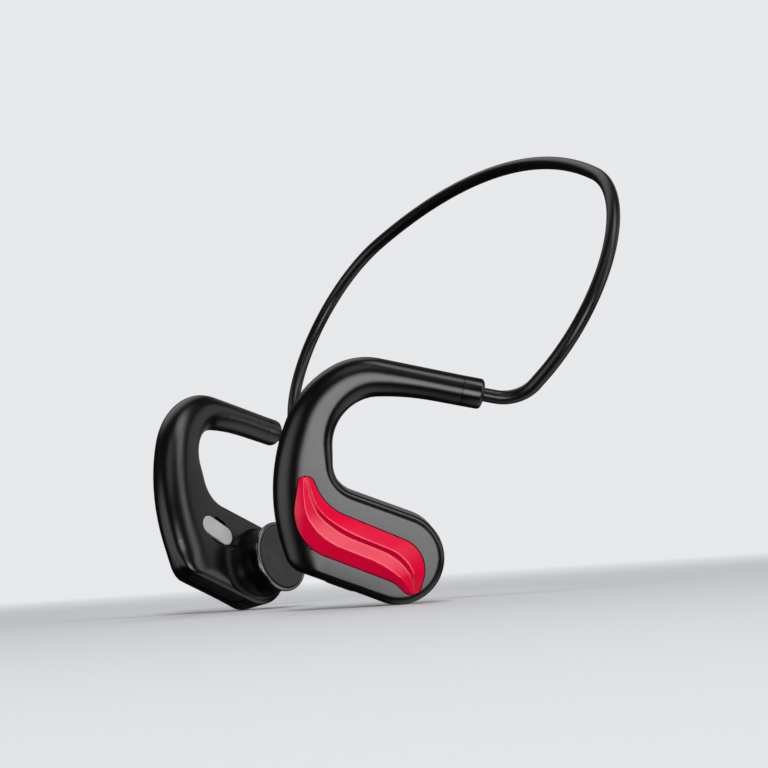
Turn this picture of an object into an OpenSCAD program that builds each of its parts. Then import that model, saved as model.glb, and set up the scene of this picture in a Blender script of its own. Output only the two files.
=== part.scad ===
// Behind-the-neck bone conduction headset.
// Frame: +X rearward, -Y wearer's left, +Y wearer's right, +Z up.
// It stands on the round ends of its two pods; the neckband rises behind them.
// Origin: centre of the overall box, on the ground plane.
// Units: millimetres.

/* [Stance] */
// distance between the two pod centres, across the head
pod_gap = 97; // [92:1:104]
// toe-in of each earpiece seen from above
toe_in = 23.2; // [20:0.2:26]
// outward lean of the top of each earpiece
lean_out = 9.8; // [8:0.2:12]
// nose-up tilt of each earpiece
nose_up = 2.8; // [1:0.2:6]
// pod centre, behind the middle of the overall box
pod_x = -19.8; // [-45:0.01:-10]
// pod centre height above the ground
pod_z = 13.12; // [11:0.01:16]

/* [Pod] */
// radius of the pod's round rear end
pod_r = 12.6; // [12.3:0.1:12.9]
// half of the pod thickness
pod_half = 6.0; // [5.8:0.1:6.4]
// fall of the pod's straight edges towards the rear
pod_slope = 20.7; // [19:0.1:22]
// shell wall
wall = 1.4; // [1.2:0.1:1.6]
// in-plane reach of the rounding on the pod's edges
edge_r = 2.2; // [1.9:0.1:2.6]
// in-plane reach of the wide rounding on the front edge
front_r = 7.0; // [6:0.1:8]
// radius of the front lower corner
corner_r = 6.5; // [4:0.1:8]

/* [Ear hook] */
// radius of the hook tube at its cap
tube_r = 4.2; // [4:0.05:4.4]
// fall of the hook tube towards its cap
tube_slope = 11; // [9:0.5:13]
// seam between hook tube and cap, along X from the pod centre
seam_x = 17.5; // [16:0.1:19]
// seam between hook tube and cap, above the pod centre
seam_z = 45.3; // [44:0.1:47]
// straight front edge of the opening behind the pod front
gap_x = -17.65; // [-18.5:0.05:-17]
// underside of the hook above the opening
gap_top = 43.9; // [43:0.1:45]
// bend radius of the opening, upper front
gap_r_top = 13; // [12:0.1:14]
// bend radius of the opening, lower front
gap_r_low = 9; // [8:0.1:10]

/* [Speaker] */
// outer radius of the speaker barrel at its rim
barrel_r = 10.7; // [10.5:0.05:10.9]
// height of the barrel rim above the inner face
barrel_h = 8.4; // [8:0.1:9]
// radius of the skin pad
pad_r = 9.75; // [9.5:0.05:9.9]
// travel of the skin pad each way
pad_travel = 0.2; // [0.1:0.05:0.3]
// radius of the magnet
magnet_r = 4.9; // [4.5:0.1:5.2]

/* [Controls] */
// length of the volume rocker
rocker_l = 22.4; // [21:0.2:24]
// width of the volume rocker
rocker_w = 5.8; // [5.2:0.1:6]
// length of the power button
button_l = 9; // [8:0.1:10]
// width of the power button
button_w = 3.6; // [3:0.1:4]
// length of the charging port cover
cover_l = 12.8; // [12:0.1:13]
// width of the charging port cover
cover_w = 5.8; // [5.4:0.1:6]
// angle of the port cover on the inner face
cover_tilt = 28; // [24:0.5:32]

/* [Neckband] */
// radius of the neckband
band_r = 1.9; // [1.8:0.05:2.0]
// slope of the plane the neckband lies in
band_slope = 62.8; // [60:0.2:66]
// distance from the cap end to the bend
band_lead = 10.6; // [9.5:0.1:12]
// radius of the bend next to the cap
bend_r = 10.5; // [9:0.5:12]
// outward heading of the band after the bend
band_flare = 46; // [43:0.5:48]
// straight length after the bend
band_run = 10.2; // [9:0.1:13]
// radius of the side curve
side_r = 40; // [38:1:46]
// inward heading where the side curve meets the rear curve
rear_heading = 66; // [60:1:68]
// radius of the memory wire
wire_r = 0.6; // [0.5:0.05:0.7]

/* [Hidden] */
$fa = 6;
$fs = 0.4;

// ---- small helpers ----
function unit(v) = v / norm(v);
function polar(r, a) = [r * cos(a), r * sin(a)];
function turn_left(v) = [-v[1], v[0]];
function mix(a, b, t) = a + (b - a) * t;
function smooth(t) = t <= 0 ? 0 : t >= 1 ? 1 : t * t * (3 - 2 * t);
function ramp(z, z0, z1) = smooth((z - z0) / (z1 - z0));

// points of an arc, centre c, radius r, from angle a0 to a1
function arc_pts(c, r, a0, a1, n) =
    [for (i = [0:n]) c + polar(r, a0 + (a1 - a0) * i / n)];

// running length along a list of points
function run_len(p, i = 0, acc = 0, out = []) = i >= len(p) ? out :
    let (s = i == 0 ? 0 : acc + norm(p[i] - p[i - 1]))
    run_len(p, i + 1, s, concat(out, [s]));

// n + 1 points at equal spacing along a list of points
function respace(p, n) =
    let (s = run_len(p), total = s[len(s) - 1],
        xs = [for (i = [0:len(p) - 1]) [s[i], p[i][0]]],
        ys = [for (i = [0:len(p) - 1]) [s[i], p[i][1]]])
    [for (i = [0:n]) [lookup(total * i / n, xs), lookup(total * i / n, ys)]];

function drop_last(p) = [for (i = [0:len(p) - 2]) p[i]];

// ---- outline of one earpiece, in its own plane ----
// own axes: x rearward, y inward to the head, z up, from the pod's round end
fine = 24;
tube_top = 180 - tube_slope;
seam = [seam_x, seam_z];
tube_n = [sin(tube_slope), cos(tube_slope)];

// outer side: hook crown, hook front, long front curve, corner, pod underside
crown_r = 18.85;
crown_turn = 39.4;
brow_r = 27.3;
brow_turn = 38.5;
front_curve_r = 52;
front_turn = 39;
crown_c = [-8.4, 35.8];
crown_a0 = 90 - tube_slope;
crown_a1 = crown_a0 + crown_turn;
brow_c = crown_c + polar(crown_r - brow_r, crown_a1);
brow_a1 = crown_a1 + brow_turn;
front_c = brow_c + polar(brow_r - front_curve_r, brow_a1);
front_a1 = brow_a1 + front_turn;
under_a = 270 - pod_slope;
under_n = polar(1, under_a);
// corner circle touches the front curve from inside and the underside line
corner_d = front_curve_r - corner_r;
corner_k = (pod_r - corner_r) - front_c * under_n;
corner_u = front_c + under_n * corner_k
    + turn_left(under_n) * -sqrt(corner_d * corner_d - corner_k * corner_k);
corner_a0 = atan2(corner_u[1] - front_c[1], corner_u[0] - front_c[0]);
front_end = (corner_a0 + 360) % 360;
z1_outer = [seam + tube_n * tube_r, crown_c + polar(crown_r, crown_a0)];
z2_outer = concat(arc_pts(crown_c, crown_r, crown_a0, crown_a1, fine),
    arc_pts(brow_c, brow_r, crown_a1, brow_a1, fine));
front_mid = brow_a1 + (front_end - brow_a1) * 0.62;
z3_outer = arc_pts(front_c, front_curve_r, brow_a1, front_mid, fine);
z4_outer = concat(arc_pts(front_c, front_curve_r, front_mid, front_end, fine),
    arc_pts(corner_u, corner_r, front_end, under_a, fine));
z5_outer = [corner_u + under_n * corner_r, under_n * pod_r];
z6_outer = arc_pts([0, 0], pod_r, under_a, 360, fine);

// inner side: tube underside, upper bend, straight, lower bend, pod top
over_a = 90 - pod_slope;
over_n = polar(1, over_a);
top_c = [gap_x + gap_r_top, gap_top - gap_r_top];
low_k = pod_r + gap_r_low;
low_c = [gap_x + gap_r_low,
    (low_k - (gap_x + gap_r_low) * over_n[0]) / over_n[1]];
z1_inner = concat([seam - tube_n * tube_r],
    [[7.5, 43.0], [1.5, 43.75]], [top_c + [0, gap_r_top]]);
z2_inner = arc_pts(top_c, gap_r_top, 90, 180, 2 * fine);
z3_inner = [[gap_x, top_c[1]], [gap_x, low_c[1]]];
z4_inner = arc_pts(low_c, gap_r_low, 180, 180 + over_a, fine);
z5_inner = [low_c - over_n * gap_r_low, over_n * pod_r];
z6_inner = arc_pts([0, 0], pod_r, over_a, 0, fine);

zone_n = [5, 13, 5, 11, 6, 10];
outer_zones = [z1_outer, z2_outer, z3_outer, z4_outer, z5_outer, z6_outer];
inner_zones = [z1_inner, z2_inner, z3_inner, z4_inner, z5_inner, z6_inner];
function chain(zones) = concat([for (k = [0:5]) each
    drop_last(respace(zones[k], zone_n[k]))], [[pod_r, 0]]);
side_out = chain(outer_zones);
side_in = chain(inner_zones);
last = len(side_out) - 1;
// zone position of each station, 0 at the cap seam to 6 at the pod tip
zpos = concat([for (k = [0:5]) each
    [for (i = [0:zone_n[k] - 1]) k + i / zone_n[k]]], [6]);

// inward normals
function tangent(p, i) = i == 0 ? -polar(1, -tube_slope) :
    i == last ? [0, 1] : unit(p[i + 1] - p[i - 1]);
normal_out = [for (i = [0:last]) i == last ? [-1, 0]
    : turn_left(tangent(side_out, i))];
normal_in = [for (i = [0:last]) i == last ? [-1, 0]
    : -turn_left(tangent(side_in, i))];

// section sizes along the earpiece
function half_at(z) = lookup(z, [[0, tube_r], [1, 4.75], [2, 5.6],
    [3, pod_half], [6, pod_half]]);
pod_flat = 4.2;
function flat_out(z) = lookup(z, [[0, 0], [2, 0], [3, 0.5],
    [3.55, 0.8], [4, pod_flat], [6, pod_flat]]);
function flat_in(z) = lookup(z, [[0, 0], [1.2, 0], [2.2, 3.0],
    [3, 3.4], [4, pod_flat], [6, pod_flat]]);
// half width of the narrow flat left along the tube's crest, as a share
crest = 0.05;
function reach_in(z) = lookup(z, [[0, 3.2], [2, 3.2], [3, 2.6],
    [4, edge_r], [6, edge_r]]);
z4_start = zone_n[0] + zone_n[1] + zone_n[2];
z5_start = z4_start + zone_n[3];
z6_start = z5_start + zone_n[4];
// border of the flat face at the front lower corner
corner_line = side_out[z5_start] - under_n * edge_r;
mitre = corner_line - turn_left(under_n) * -3.4;
face_end = under_n * (pod_r - edge_r);
crease_from = z4_start + 6;
function face_out(i) = let (z = zpos[i], p = side_out[i],
        m = (side_out[i] + side_in[i]) / 2)
    i >= z6_start ? p + normal_out[i] * edge_r :
    i >= z5_start ? mix(mitre, face_end,
        (i - z5_start) / (z6_start - z5_start)) :
    i > crease_from ? mix(side_out[crease_from]
        + normal_out[crease_from] * front_r, mitre,
        (i - crease_from) / (z5_start - crease_from)) :
    mix(mix(m, p, crest), p + normal_out[i] * front_r, ramp(z, 1.1, 2.3));
function face_in(i) = let (z = zpos[i],
        m = (side_out[i] + side_in[i]) / 2)
    i == last ? [pod_r - edge_r, 0] :
    mix(mix(m, side_in[i], crest), side_in[i] + normal_in[i] * reach_in(z),
        ramp(z, 0.9, 2.1));
border_out = [for (i = [0:last]) face_out(i)];
border_in = [for (i = [0:last]) face_in(i)];

// ---- half shell: outer skin, cavity skin, rim at the parting plane ----
rings = 5;
// one ring of a skin, as a path cap seam -> tip -> cap seam
// inset 0 gives the outer skin, inset = wall the cavity
function skin_pt(p, nrm, f, flat, half, inset, k) =
    let (a = 90 * k / rings, q = p + nrm * inset,
        top = half - inset, low = min(flat, top - 0.2),
        xz = mix(q, f, 1 - cos(a)))
    [xz[0], -(low + (top - low) * sin(a)), xz[1]];
function rim_pt(p, nrm, inset) = let (q = p + nrm * inset) [q[0], 0, q[1]];
function ring_path(k, inset) = k < 0
    ? concat([for (i = [0:last]) rim_pt(side_out[i], normal_out[i], inset)],
        [for (i = [last - 1:-1:0]) rim_pt(side_in[i], normal_in[i], inset)])
    : concat([for (i = [0:last]) skin_pt(side_out[i], normal_out[i],
            border_out[i], 0.02 + flat_out(zpos[i]), half_at(zpos[i]), inset, k)],
        [for (i = [last - 1:-1:0]) skin_pt(side_in[i], normal_in[i],
            border_in[i], 0.02 + flat_in(zpos[i]), half_at(zpos[i]), inset, k)]);
path_n = 2 * last + 1;
rows = rings + 2;
shell_pts = concat(
    [for (k = [-1:rings]) each ring_path(k, 0)],
    [for (k = [-1:rings]) each ring_path(k, wall)]);
function at(skin, row, j) = (skin * rows + row) * path_n + j;
function quad(a, b, c, d) = [[a, b, c], [a, c, d]];
side_faces = [for (row = [0:rows - 2]) for (j = [0:path_n - 2]) each
    quad(at(0, row, j), at(0, row, j + 1), at(0, row + 1, j + 1),
        at(0, row + 1, j))];
cavity_faces = [for (row = [0:rows - 2]) for (j = [0:path_n - 2]) each
    quad(at(1, row, j + 1), at(1, row, j), at(1, row + 1, j),
        at(1, row + 1, j + 1))];
// flat face between the two borders; the tube has no flat, only a crest line
function bridge(skin, j) = let (a = at(skin, rows - 1, j),
        b = at(skin, rows - 1, j + 1),
        c = at(skin, rows - 1, path_n - 2 - j),
        d = at(skin, rows - 1, path_n - 1 - j))
    j == last - 1 ? [[a, b, d]] : [[a, b, c], [a, c, d]];
function flip(f) = [for (t = f) [t[2], t[1], t[0]]];
top_faces = [for (j = [0:last - 1]) each bridge(0, j)];
roof_faces = flip([for (j = [0:last - 1]) each bridge(1, j)]);
rim_faces = [for (j = [0:path_n - 2]) each
    quad(at(0, 0, j + 1), at(0, 0, j), at(1, 0, j), at(1, 0, j + 1))];
end_faces = [for (row = [0:rows - 2]) each concat(
    quad(at(0, row, 0), at(0, row + 1, 0), at(1, row + 1, 0), at(1, row, 0)),
    quad(at(0, row + 1, path_n - 1), at(0, row, path_n - 1),
        at(1, row, path_n - 1), at(1, row + 1, path_n - 1)))];
top_end = [[at(0, rows - 1, 0), at(0, rows - 1, path_n - 1),
    at(1, rows - 1, path_n - 1)],
    [at(0, rows - 1, 0), at(1, rows - 1, path_n - 1), at(1, rows - 1, 0)]];

// half shell on the outer side, y <= 0
module half_shell() polyhedron(shell_pts, flip(concat(side_faces,
    cavity_faces, top_faces, roof_faces, rim_faces, end_faces, top_end)),
    convexity = 8);

// ---- placing ----
function about_y(v, a) = [v[0] * cos(a) + v[2] * sin(a), v[1],
    v[2] * cos(a) - v[0] * sin(a)];
function about_x(v, a) = [v[0], v[1] * cos(a) - v[2] * sin(a),
    v[1] * sin(a) + v[2] * cos(a)];
function about_z(v, a) = [v[0] * cos(a) - v[1] * sin(a),
    v[0] * sin(a) + v[1] * cos(a), v[2]];
function ear_dir(v) = about_z(about_x(about_y(v, nose_up), lean_out), -toe_in);
pod_at = [pod_x, -pod_gap / 2, pod_z];
function ear_pt(p) = pod_at + ear_dir(p);
module left() translate(pod_at) rotate([0, 0, -toe_in])
    rotate([lean_out, 0, 0]) rotate([0, nose_up, 0]) children();
module right() mirror([0, 1, 0]) left() children();
// a body turned about the pod's own axis, from its inner face inward
module on_axis(y) translate([0, y, 0]) rotate([-90, 0, 0]) children();
// flat outline in the earpiece plane, thickness h from y outward
module in_plane(y, h) translate([0, y, 0]) rotate([90, 0, 0])
    linear_extrude(h) children();
// frame on the underside edge: x forward along the edge, z out of the pod
module on_underside(s) translate([under_n[0] * pod_r, 0, under_n[1] * pod_r])
    rotate([0, 180 + pod_slope, 0]) translate([s, 0, 0]) children();
// frame at the seam of the hook tube, z along the tube towards the band
module at_seam() translate([seam_x, 0, seam_z])
    rotate([0, 90 + tube_slope, 0]) children();

module stadium(l, w) union() {
    square([l - w, w], center = true);
    translate([(l - w) / 2, 0]) circle(w / 2);
    translate([(w - l) / 2, 0]) circle(w / 2);
}
module ring(ro, ri, h) difference() {
    cylinder(r = ro, h = h);
    translate([0, 0, -1]) cylinder(r = ri, h = h + 2);
}

// ---- inlay on the outer face ----
// path through corner points, each rounded by its own radius
function rounded(a, b, c, r) = let (u = unit(a - b), v = unit(c - b),
        half = acos(u * v) / 2, o = b + unit(u + v) * (r / sin(half)),
        s = b + u * (r / tan(half)), e = b + v * (r / tan(half)),
        a0 = atan2(s[1] - o[1], s[0] - o[0]),
        d = atan2(e[1] - o[1], e[0] - o[0]) - a0,
        sweep = d > 180 ? d - 360 : d < -180 ? d + 360 : d)
    arc_pts(o, r, a0, a0 + sweep, fine);
function bent(a, b, c, d, r1, r2) = concat([a], rounded(a, b, c, r1),
    rounded(b, c, d, r2), [d]);
inlay_n = 36;
inlay_top = respace(bent([-23.6, 23.0], [-19.8, 14.6], [8.6, 2.4],
    [5.6, -9.2], 14, 9), inlay_n);
inlay_low = respace(bent([-26.9, 23.0], [-29.6, 5.4], [-1.0, -6.2],
    [2.4, -9.7], 13, 8), inlay_n);
function across(t) = [for (i = [0:inlay_n]) mix(inlay_top[i], inlay_low[i], t)];
module stripe(t0, t1) polygon(concat(across(t0),
    [for (i = [inlay_n:-1:0]) mix(inlay_top[i], inlay_low[i], t1)]));
inlay_seat = 5.3;
inlay_up = 0.15;
ridge_up = 0.35;
ridge_at = [0.31, 0.69];
ridge_share = 0.03;
module inlay() {
    in_plane(-inlay_seat, pod_half - inlay_seat + inlay_up) stripe(0, 1);
    for (t = ridge_at)
        in_plane(-inlay_seat, pod_half - inlay_seat + ridge_up)
            stripe(t - ridge_share, t + ridge_share);
}
inlay_gap = 0.08;
module inlay_seat_cut() in_plane(-inlay_seat, 3)
    offset(delta = inlay_gap) stripe(0, 1);

// ---- shells ----
fit = 0.05;
barrel_hole = 8.9;
rocker_at = 12.7;
// the rocker sits a little towards the head side of the edge
rocker_off = 0.9;
button_at = 12;
mic_at = 20.5;
side_gap = 0.25;
module left_edge_cuts() {
    on_underside(button_at) translate([0, 0, -2]) linear_extrude(4)
        stadium(button_l + 2 * fit, button_w + 2 * fit);
    on_underside(mic_at) translate([0, 0, -2]) cylinder(r = 0.6, h = 4);
}
pin_depth = 2.4;
pin_r = 0.6;
pin_l = 10.4;
module right_edge_cuts() {
    on_underside(rocker_at) translate([0, rocker_off, -2]) linear_extrude(4)
        stadium(rocker_l + 2 * side_gap, rocker_w + 2 * side_gap);
    on_underside(rocker_at) translate([0, pin_l / 2, -pin_depth])
        rotate([90, 0, 0]) cylinder(r = pin_r, h = pin_l);
}
port_x = -16.7;
port_z = 10.0;
module at_port(y) translate([port_x, y, port_z]) rotate([0, cover_tilt, 0])
    rotate([-90, 0, 0]) children();
cover_seat = 5.1;
socket_l = 8.9;
socket_w = 3.2;
module port_cuts() {
    at_port(cover_seat) linear_extrude(3)
        stadium(cover_l + 2 * fit, cover_w + 2 * fit);
    at_port(3) linear_extrude(4)
        stadium(socket_l + 2 * fit, socket_w + 2 * fit);
    // finger notches at the middle of both long sides
    for (s = [-1, 1]) at_port(cover_seat) translate([0, s * cover_w / 2, 0])
        linear_extrude(3) stadium(3.6, 1.2);
}
module outer_half() difference() {
    half_shell();
    inlay_seat_cut();
}
module inner_half() difference() {
    mirror([0, 1, 0]) half_shell();
    on_axis(3) cylinder(r = barrel_hole, h = 5);
}
module left_outer_shell() color([0.05, 0.05, 0.06]) left() difference() {
    outer_half();
    left_edge_cuts();
}
module left_inner_shell() color([0.05, 0.05, 0.06]) left() difference() {
    inner_half();
    left_edge_cuts();
}
module right_outer_shell() color([0.05, 0.05, 0.06]) right() difference() {
    outer_half();
    right_edge_cuts();
}
module right_inner_shell() color([0.05, 0.05, 0.06]) right() difference() {
    inner_half();
    right_edge_cuts();
    port_cuts();
}

// ---- cap on the end of the hook tube ----
cap_l = 6.08;
cap_round = 1.4;
spigot_r = 2.6;
spigot_l = 3;
band_grip = 3.5;
module cap() at_seam() difference() {
    union() {
        rotate_extrude() difference() {
            square([tube_r, cap_l]);
            translate([tube_r - cap_round, cap_l - cap_round])
                difference() {
                    square(cap_round + 1);
                    circle(cap_round);
                }
        }
        translate([0, 0, -spigot_l]) cylinder(r = spigot_r, h = spigot_l);
    }
    translate([0, 0, cap_l - band_grip])
        cylinder(r = band_r + 0.02, h = band_grip + 1);
    translate([0, 0, -spigot_l - 1]) cylinder(r = 1.2, h = spigot_l + cap_l);
}

// ---- speaker, along the pod axis ----
inner_face = pod_half;
flange_y = inner_face;
rim_y = flange_y + barrel_h;
floor_y = 4.6;
floor_h = 2.0;
neck_r = barrel_hole - fit;
bore_r = 8.3;
screw_ring = 6.9;
screw_at = [30, 150, 270];
screw_r = 0.7;
ledge_y = 12.9;
// flare that blends the barrel into the face on the side towards the hook
foot_r = 12.9;
foot_h = 3.4;
body_r = barrel_r - 0.6;
gasket_ro = 9.75;
gasket_ri = 9.25;
gasket_h = 0.4;
wire_hole = 1.2;
mouth_r = 8.95;
strip_w = 20.6;
module foot() intersection() {
    rotate_extrude() polygon(concat([[9, flange_y]],
        [for (a = [0:10:90]) [foot_r - (foot_r - body_r) * sin(a),
            flange_y + foot_h * (1 - cos(a))]],
        [[9, flange_y + foot_h]]));
    rotate(180 + pod_slope) translate([0, -strip_w / 2, flange_y - 1])
        cube([20, strip_w, 8]);
}
module barrel() on_axis(0) difference() {
    union() {
        foot();
        tub();
    }
    // seat of the gasket, wire hole, screw holes
    translate([0, 0, flange_y - 1]) ring(gasket_ro, gasket_ri, 1 + gasket_h);
    translate([0, 0, floor_y - 1]) cylinder(r = wire_hole, h = floor_h + 2);
    for (a = screw_at) rotate(a) translate([screw_ring, 0, floor_y - 1])
        cylinder(r = screw_r, h = floor_h + 0.6);
}
module tub() rotate_extrude() polygon(concat(
        [[0, floor_y], [neck_r, floor_y], [neck_r, flange_y],
        [barrel_r - 0.1, flange_y]],
        [for (a = [0:15:90]) [barrel_r - 0.1 - 0.5 * sin(a),
            flange_y + 1.6 * (1 - cos(a))]],
        [[barrel_r - 0.2, rim_y - 3], [barrel_r, rim_y - 0.5],
        [barrel_r, rim_y], [mouth_r, rim_y], [mouth_r, ledge_y],
        [bore_r, ledge_y], [bore_r, floor_y + floor_h],
        [0, floor_y + floor_h]]));
module barrel_gasket() on_axis(flange_y) ring(gasket_ro, gasket_ri, gasket_h);
ring_in = pad_r + 0.15;
ring_out = barrel_r + 0.1;
ring_h = 1.1;
module rim_ring() on_axis(rim_y) rotate_extrude() difference() {
    translate([ring_in, 0]) square([ring_out - ring_in, ring_h]);
    translate([ring_out, ring_h]) rotate(45) square(0.4, center = true);
}
yoke_y = floor_y + floor_h;
yoke_h = 5.4;
yoke_r = 7.5;
yoke_base = 1.2;
module yoke() on_axis(yoke_y) difference() {
    cylinder(r = yoke_r, h = yoke_h);
    translate([0, 0, yoke_base]) cylinder(r = yoke_r - 0.9, h = yoke_h);
    translate([0, 0, -1]) cylinder(r = wire_hole, h = yoke_base + 2);
}
magnet_h = 2.8;
magnet_y = yoke_y + yoke_base;
plate_h = 1.2;
module magnet() on_axis(magnet_y) cylinder(r = magnet_r, h = magnet_h);
module pole_plate() on_axis(magnet_y + magnet_h)
    cylinder(r = magnet_r + 0.15, h = plate_h);
coil_y = 9.2;
coil_top = 13.8;
coil_ro = 6.05;
coil_ri = 5.45;
module voice_coil() on_axis(coil_y) ring(coil_ro, coil_ri, coil_top - coil_y);
// flat spring: inner ring, outer ring and six arms between them
spring_h = 0.25;
spring_arm_w = 1;
module suspension() on_axis(ledge_y) union() {
    ring(coil_ro + 0.65, coil_ro + 0.05, spring_h);
    ring(mouth_r - 0.1, mouth_r - 1.05, spring_h);
    for (a = [0:60:300]) rotate(a)
        translate([coil_ro + 0.55, -spring_arm_w / 2, 0])
            cube([1.4, spring_arm_w, spring_h]);
}
pad_y = rim_y + pad_travel + 0.15;
pad_h = 1.3;
hub_ri = 5.3;
hub_ro = 6.2;
module skin_pad() on_axis(0) rotate_extrude() polygon([[0, pad_y],
    [hub_ri, pad_y], [hub_ri, coil_top], [hub_ro, coil_top], [hub_ro, pad_y],
    [pad_r, pad_y], [pad_r, pad_y + pad_h - 0.5],
    [pad_r - 0.15, pad_y + pad_h - 0.15],
    [pad_r - 0.5, pad_y + pad_h], [0, pad_y + pad_h]]);
bracket_h = 1.2;
bracket_y = floor_y - bracket_h;
bracket_ro = 9.9;
bracket_ri = 4;
module bracket() on_axis(bracket_y) difference() {
    cylinder(r = bracket_ro, h = bracket_h);
    translate([0, 0, -1]) cylinder(r = bracket_ri, h = 4);
    for (a = screw_at) rotate(a) translate([screw_ring, 0, -1])
        cylinder(r = screw_r + fit, h = 4);
}
head_r = 1.3;
head_h = 0.8;
module bracket_screws() on_axis(bracket_y) for (a = screw_at)
    rotate(a) translate([screw_ring, 0, 0]) difference() {
        union() {
            cylinder(r = screw_r, h = bracket_h + 1.4);
            translate([0, 0, -head_h]) cylinder(r = head_r, h = head_h);
        }
        // cross recess
        for (q = [0, 90]) rotate(q) translate([-0.9, -0.15, -head_h - 0.2])
            cube([1.8, 0.3, 0.5]);
    }

// ---- neckband, left half, in the headset frame ----
tube_axis = [cos(tube_slope), 0, -sin(tube_slope)];
cap_end = ear_pt([seam_x, 0, seam_z] + tube_axis * cap_l);
lead_dir = ear_dir(tube_axis);
plane_up = [cos(band_slope), 0, sin(band_slope)];
plane_out = [0, -1, 0];
function heading(h) = plane_up * cos(h) + plane_out * sin(h);
run_dir = heading(band_flare);
knee = cap_end + lead_dir * band_lead;
bend_a = acos(lead_dir * run_dir);
bend_cut = bend_r * tan(bend_a / 2);
bend_n = unit(run_dir - lead_dir * (lead_dir * run_dir));
bend_start = knee - lead_dir * bend_cut;
side_start = knee + run_dir * band_run;
side_end = side_start + plane_out * side_r * (cos(rear_heading)
    - cos(band_flare)) + plane_up * side_r * (sin(rear_heading)
    + sin(band_flare));
rear_r = -side_end[1] / cos(rear_heading);
middle = side_end + [0, -side_end[1], 0]
    + plane_up * rear_r * (1 - sin(rear_heading));
grip_start = cap_end - lead_dir * band_grip;

plane_n = cross(plane_out, plane_up);
// stations [point, tangent] along the band, stopping end_gap short of the
// middle
function lead_stations() = [[grip_start, lead_dir]];
function bend_stations(n) = [for (i = [0:n]) let (a = bend_a * i / n)
    [bend_start + (bend_n * (1 - cos(a)) + lead_dir * sin(a)) * bend_r,
    lead_dir * cos(a) + bend_n * sin(a)]];
function swing(p, r, h0, h1, n) = [for (i = [1:n])
    let (h = h0 + (h1 - h0) * i / n)
    [p + (plane_out * (cos(h) - cos(h0)) + plane_up * (sin(h0) - sin(h))) * r,
    heading(h)]];
function stations(end_gap, n) = concat(lead_stations(),
    bend_stations(5), [[side_start, run_dir]],
    swing(side_start, side_r, band_flare, -rear_heading, n),
    swing(side_end, rear_r, -rear_heading, asin(end_gap / rear_r) - 90, n));
// ring of m points about a station
function hoop(st, r, m) = let (t = st[1],
        x = unit(plane_n - t * (t * plane_n)), y = cross(t, x))
    [for (k = [0:m - 1]) st[0] + (x * cos(360 * k / m)
        + y * sin(360 * k / m)) * r];
function quad_strip(a, b, m) = [for (k = [0:m - 1]) let (q = (k + 1) % m)
    each [[a + k, b + k, b + q], [a + k, b + q, a + q]]];
// hollow when ri > 0
module swept(st, ro, ri, m) {
    n = len(st);
    shell = [for (s = st) each hoop(s, ro, m)];
    core = ri > 0 ? [for (s = st) each hoop(s, ri, m)] : [];
    base = n * m;
    skin = [for (i = [0:n - 2]) each quad_strip(i * m, (i + 1) * m, m)];
    bore = ri <= 0 ? [] : [for (i = [0:n - 2]) each
        quad_strip(base + (i + 1) * m, base + i * m, m)];
    ends = ri > 0 ? concat(quad_strip(base, 0, m),
            quad_strip((n - 1) * m, base + (n - 1) * m, m))
        : [[for (k = [0:m - 1]) k], [for (k = [m - 1:-1:0]) (n - 1) * m + k]];
    polyhedron(concat(shell, core), concat(skin, bore, ends), convexity = 8);
}
sleeve_bore = 1.15;
core_gap = 3;
lip_gap = 1.0;
joint_gap = 0.05;
sleeve_sides = 18;
core_sides = 10;
band_steps = 12;
knuckle_h = 12;
// frame at the rear middle, z along the axis the two halves turn about
module at_middle() translate(middle) rotate([0, -band_slope, 0]) children();
module left_band_sleeve() color([0.08, 0.08, 0.09]) difference() {
    swept(stations(-band_r - 0.3, band_steps), band_r, sleeve_bore,
        sleeve_sides);
    at_middle() difference() {
        translate([-4, 0, -4]) cube([8, 4, 8]);
        cylinder(r = band_r, h = knuckle_h, center = true);
    }
}
module right_band_sleeve() color([0.08, 0.08, 0.09]) difference() {
    mirror([0, 1, 0]) swept(stations(lip_gap, band_steps), band_r,
        sleeve_bore, sleeve_sides);
    at_middle() cylinder(r = band_r + joint_gap, h = knuckle_h, center = true);
}
module half_wire() swept(stations(core_gap, band_steps), wire_r, 0,
    core_sides);
module half_harness() swept(stations(core_gap, band_steps),
    sleeve_bore - 0.1, wire_r + 0.1, core_sides);
module left_memory_wire() color([0.7, 0.7, 0.72]) half_wire();
module right_memory_wire() color([0.7, 0.7, 0.72])
    mirror([0, 1, 0]) half_wire();
module left_harness() color([0.75, 0.45, 0.25]) half_harness();
module right_harness() color([0.75, 0.45, 0.25])
    mirror([0, 1, 0]) half_harness();

// ---- the repeated parts of each side ----
module left_inlay() color([0.8, 0.02, 0.15]) left() inlay();
module right_inlay() color([0.8, 0.02, 0.15]) right() inlay();
module left_cap() color([0.06, 0.06, 0.07]) left() cap();
module right_cap() color([0.06, 0.06, 0.07]) right() cap();
module left_barrel() color([0.04, 0.04, 0.05]) left() barrel();
module right_barrel() color([0.04, 0.04, 0.05]) right() barrel();
module left_rim_ring() color([0.6, 0.6, 0.62]) left() rim_ring();
module right_rim_ring() color([0.6, 0.6, 0.62]) right() rim_ring();
module left_skin_pad() color([0.18, 0.18, 0.18]) left() skin_pad();
module right_skin_pad() color([0.18, 0.18, 0.18]) right() skin_pad();
module left_voice_coil() color([0.75, 0.4, 0.2]) left() voice_coil();
module right_voice_coil() color([0.75, 0.4, 0.2]) right() voice_coil();
module left_suspension() color([0.8, 0.7, 0.4]) left() suspension();
module right_suspension() color([0.8, 0.7, 0.4]) right() suspension();
module left_magnet() color([0.7, 0.7, 0.75]) left() magnet();
module right_magnet() color([0.7, 0.7, 0.75]) right() magnet();
module left_yoke() color([0.5, 0.5, 0.52]) left() yoke();
module right_yoke() color([0.5, 0.5, 0.52]) right() yoke();
module left_pole_plate() color([0.55, 0.55, 0.57]) left() pole_plate();
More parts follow.
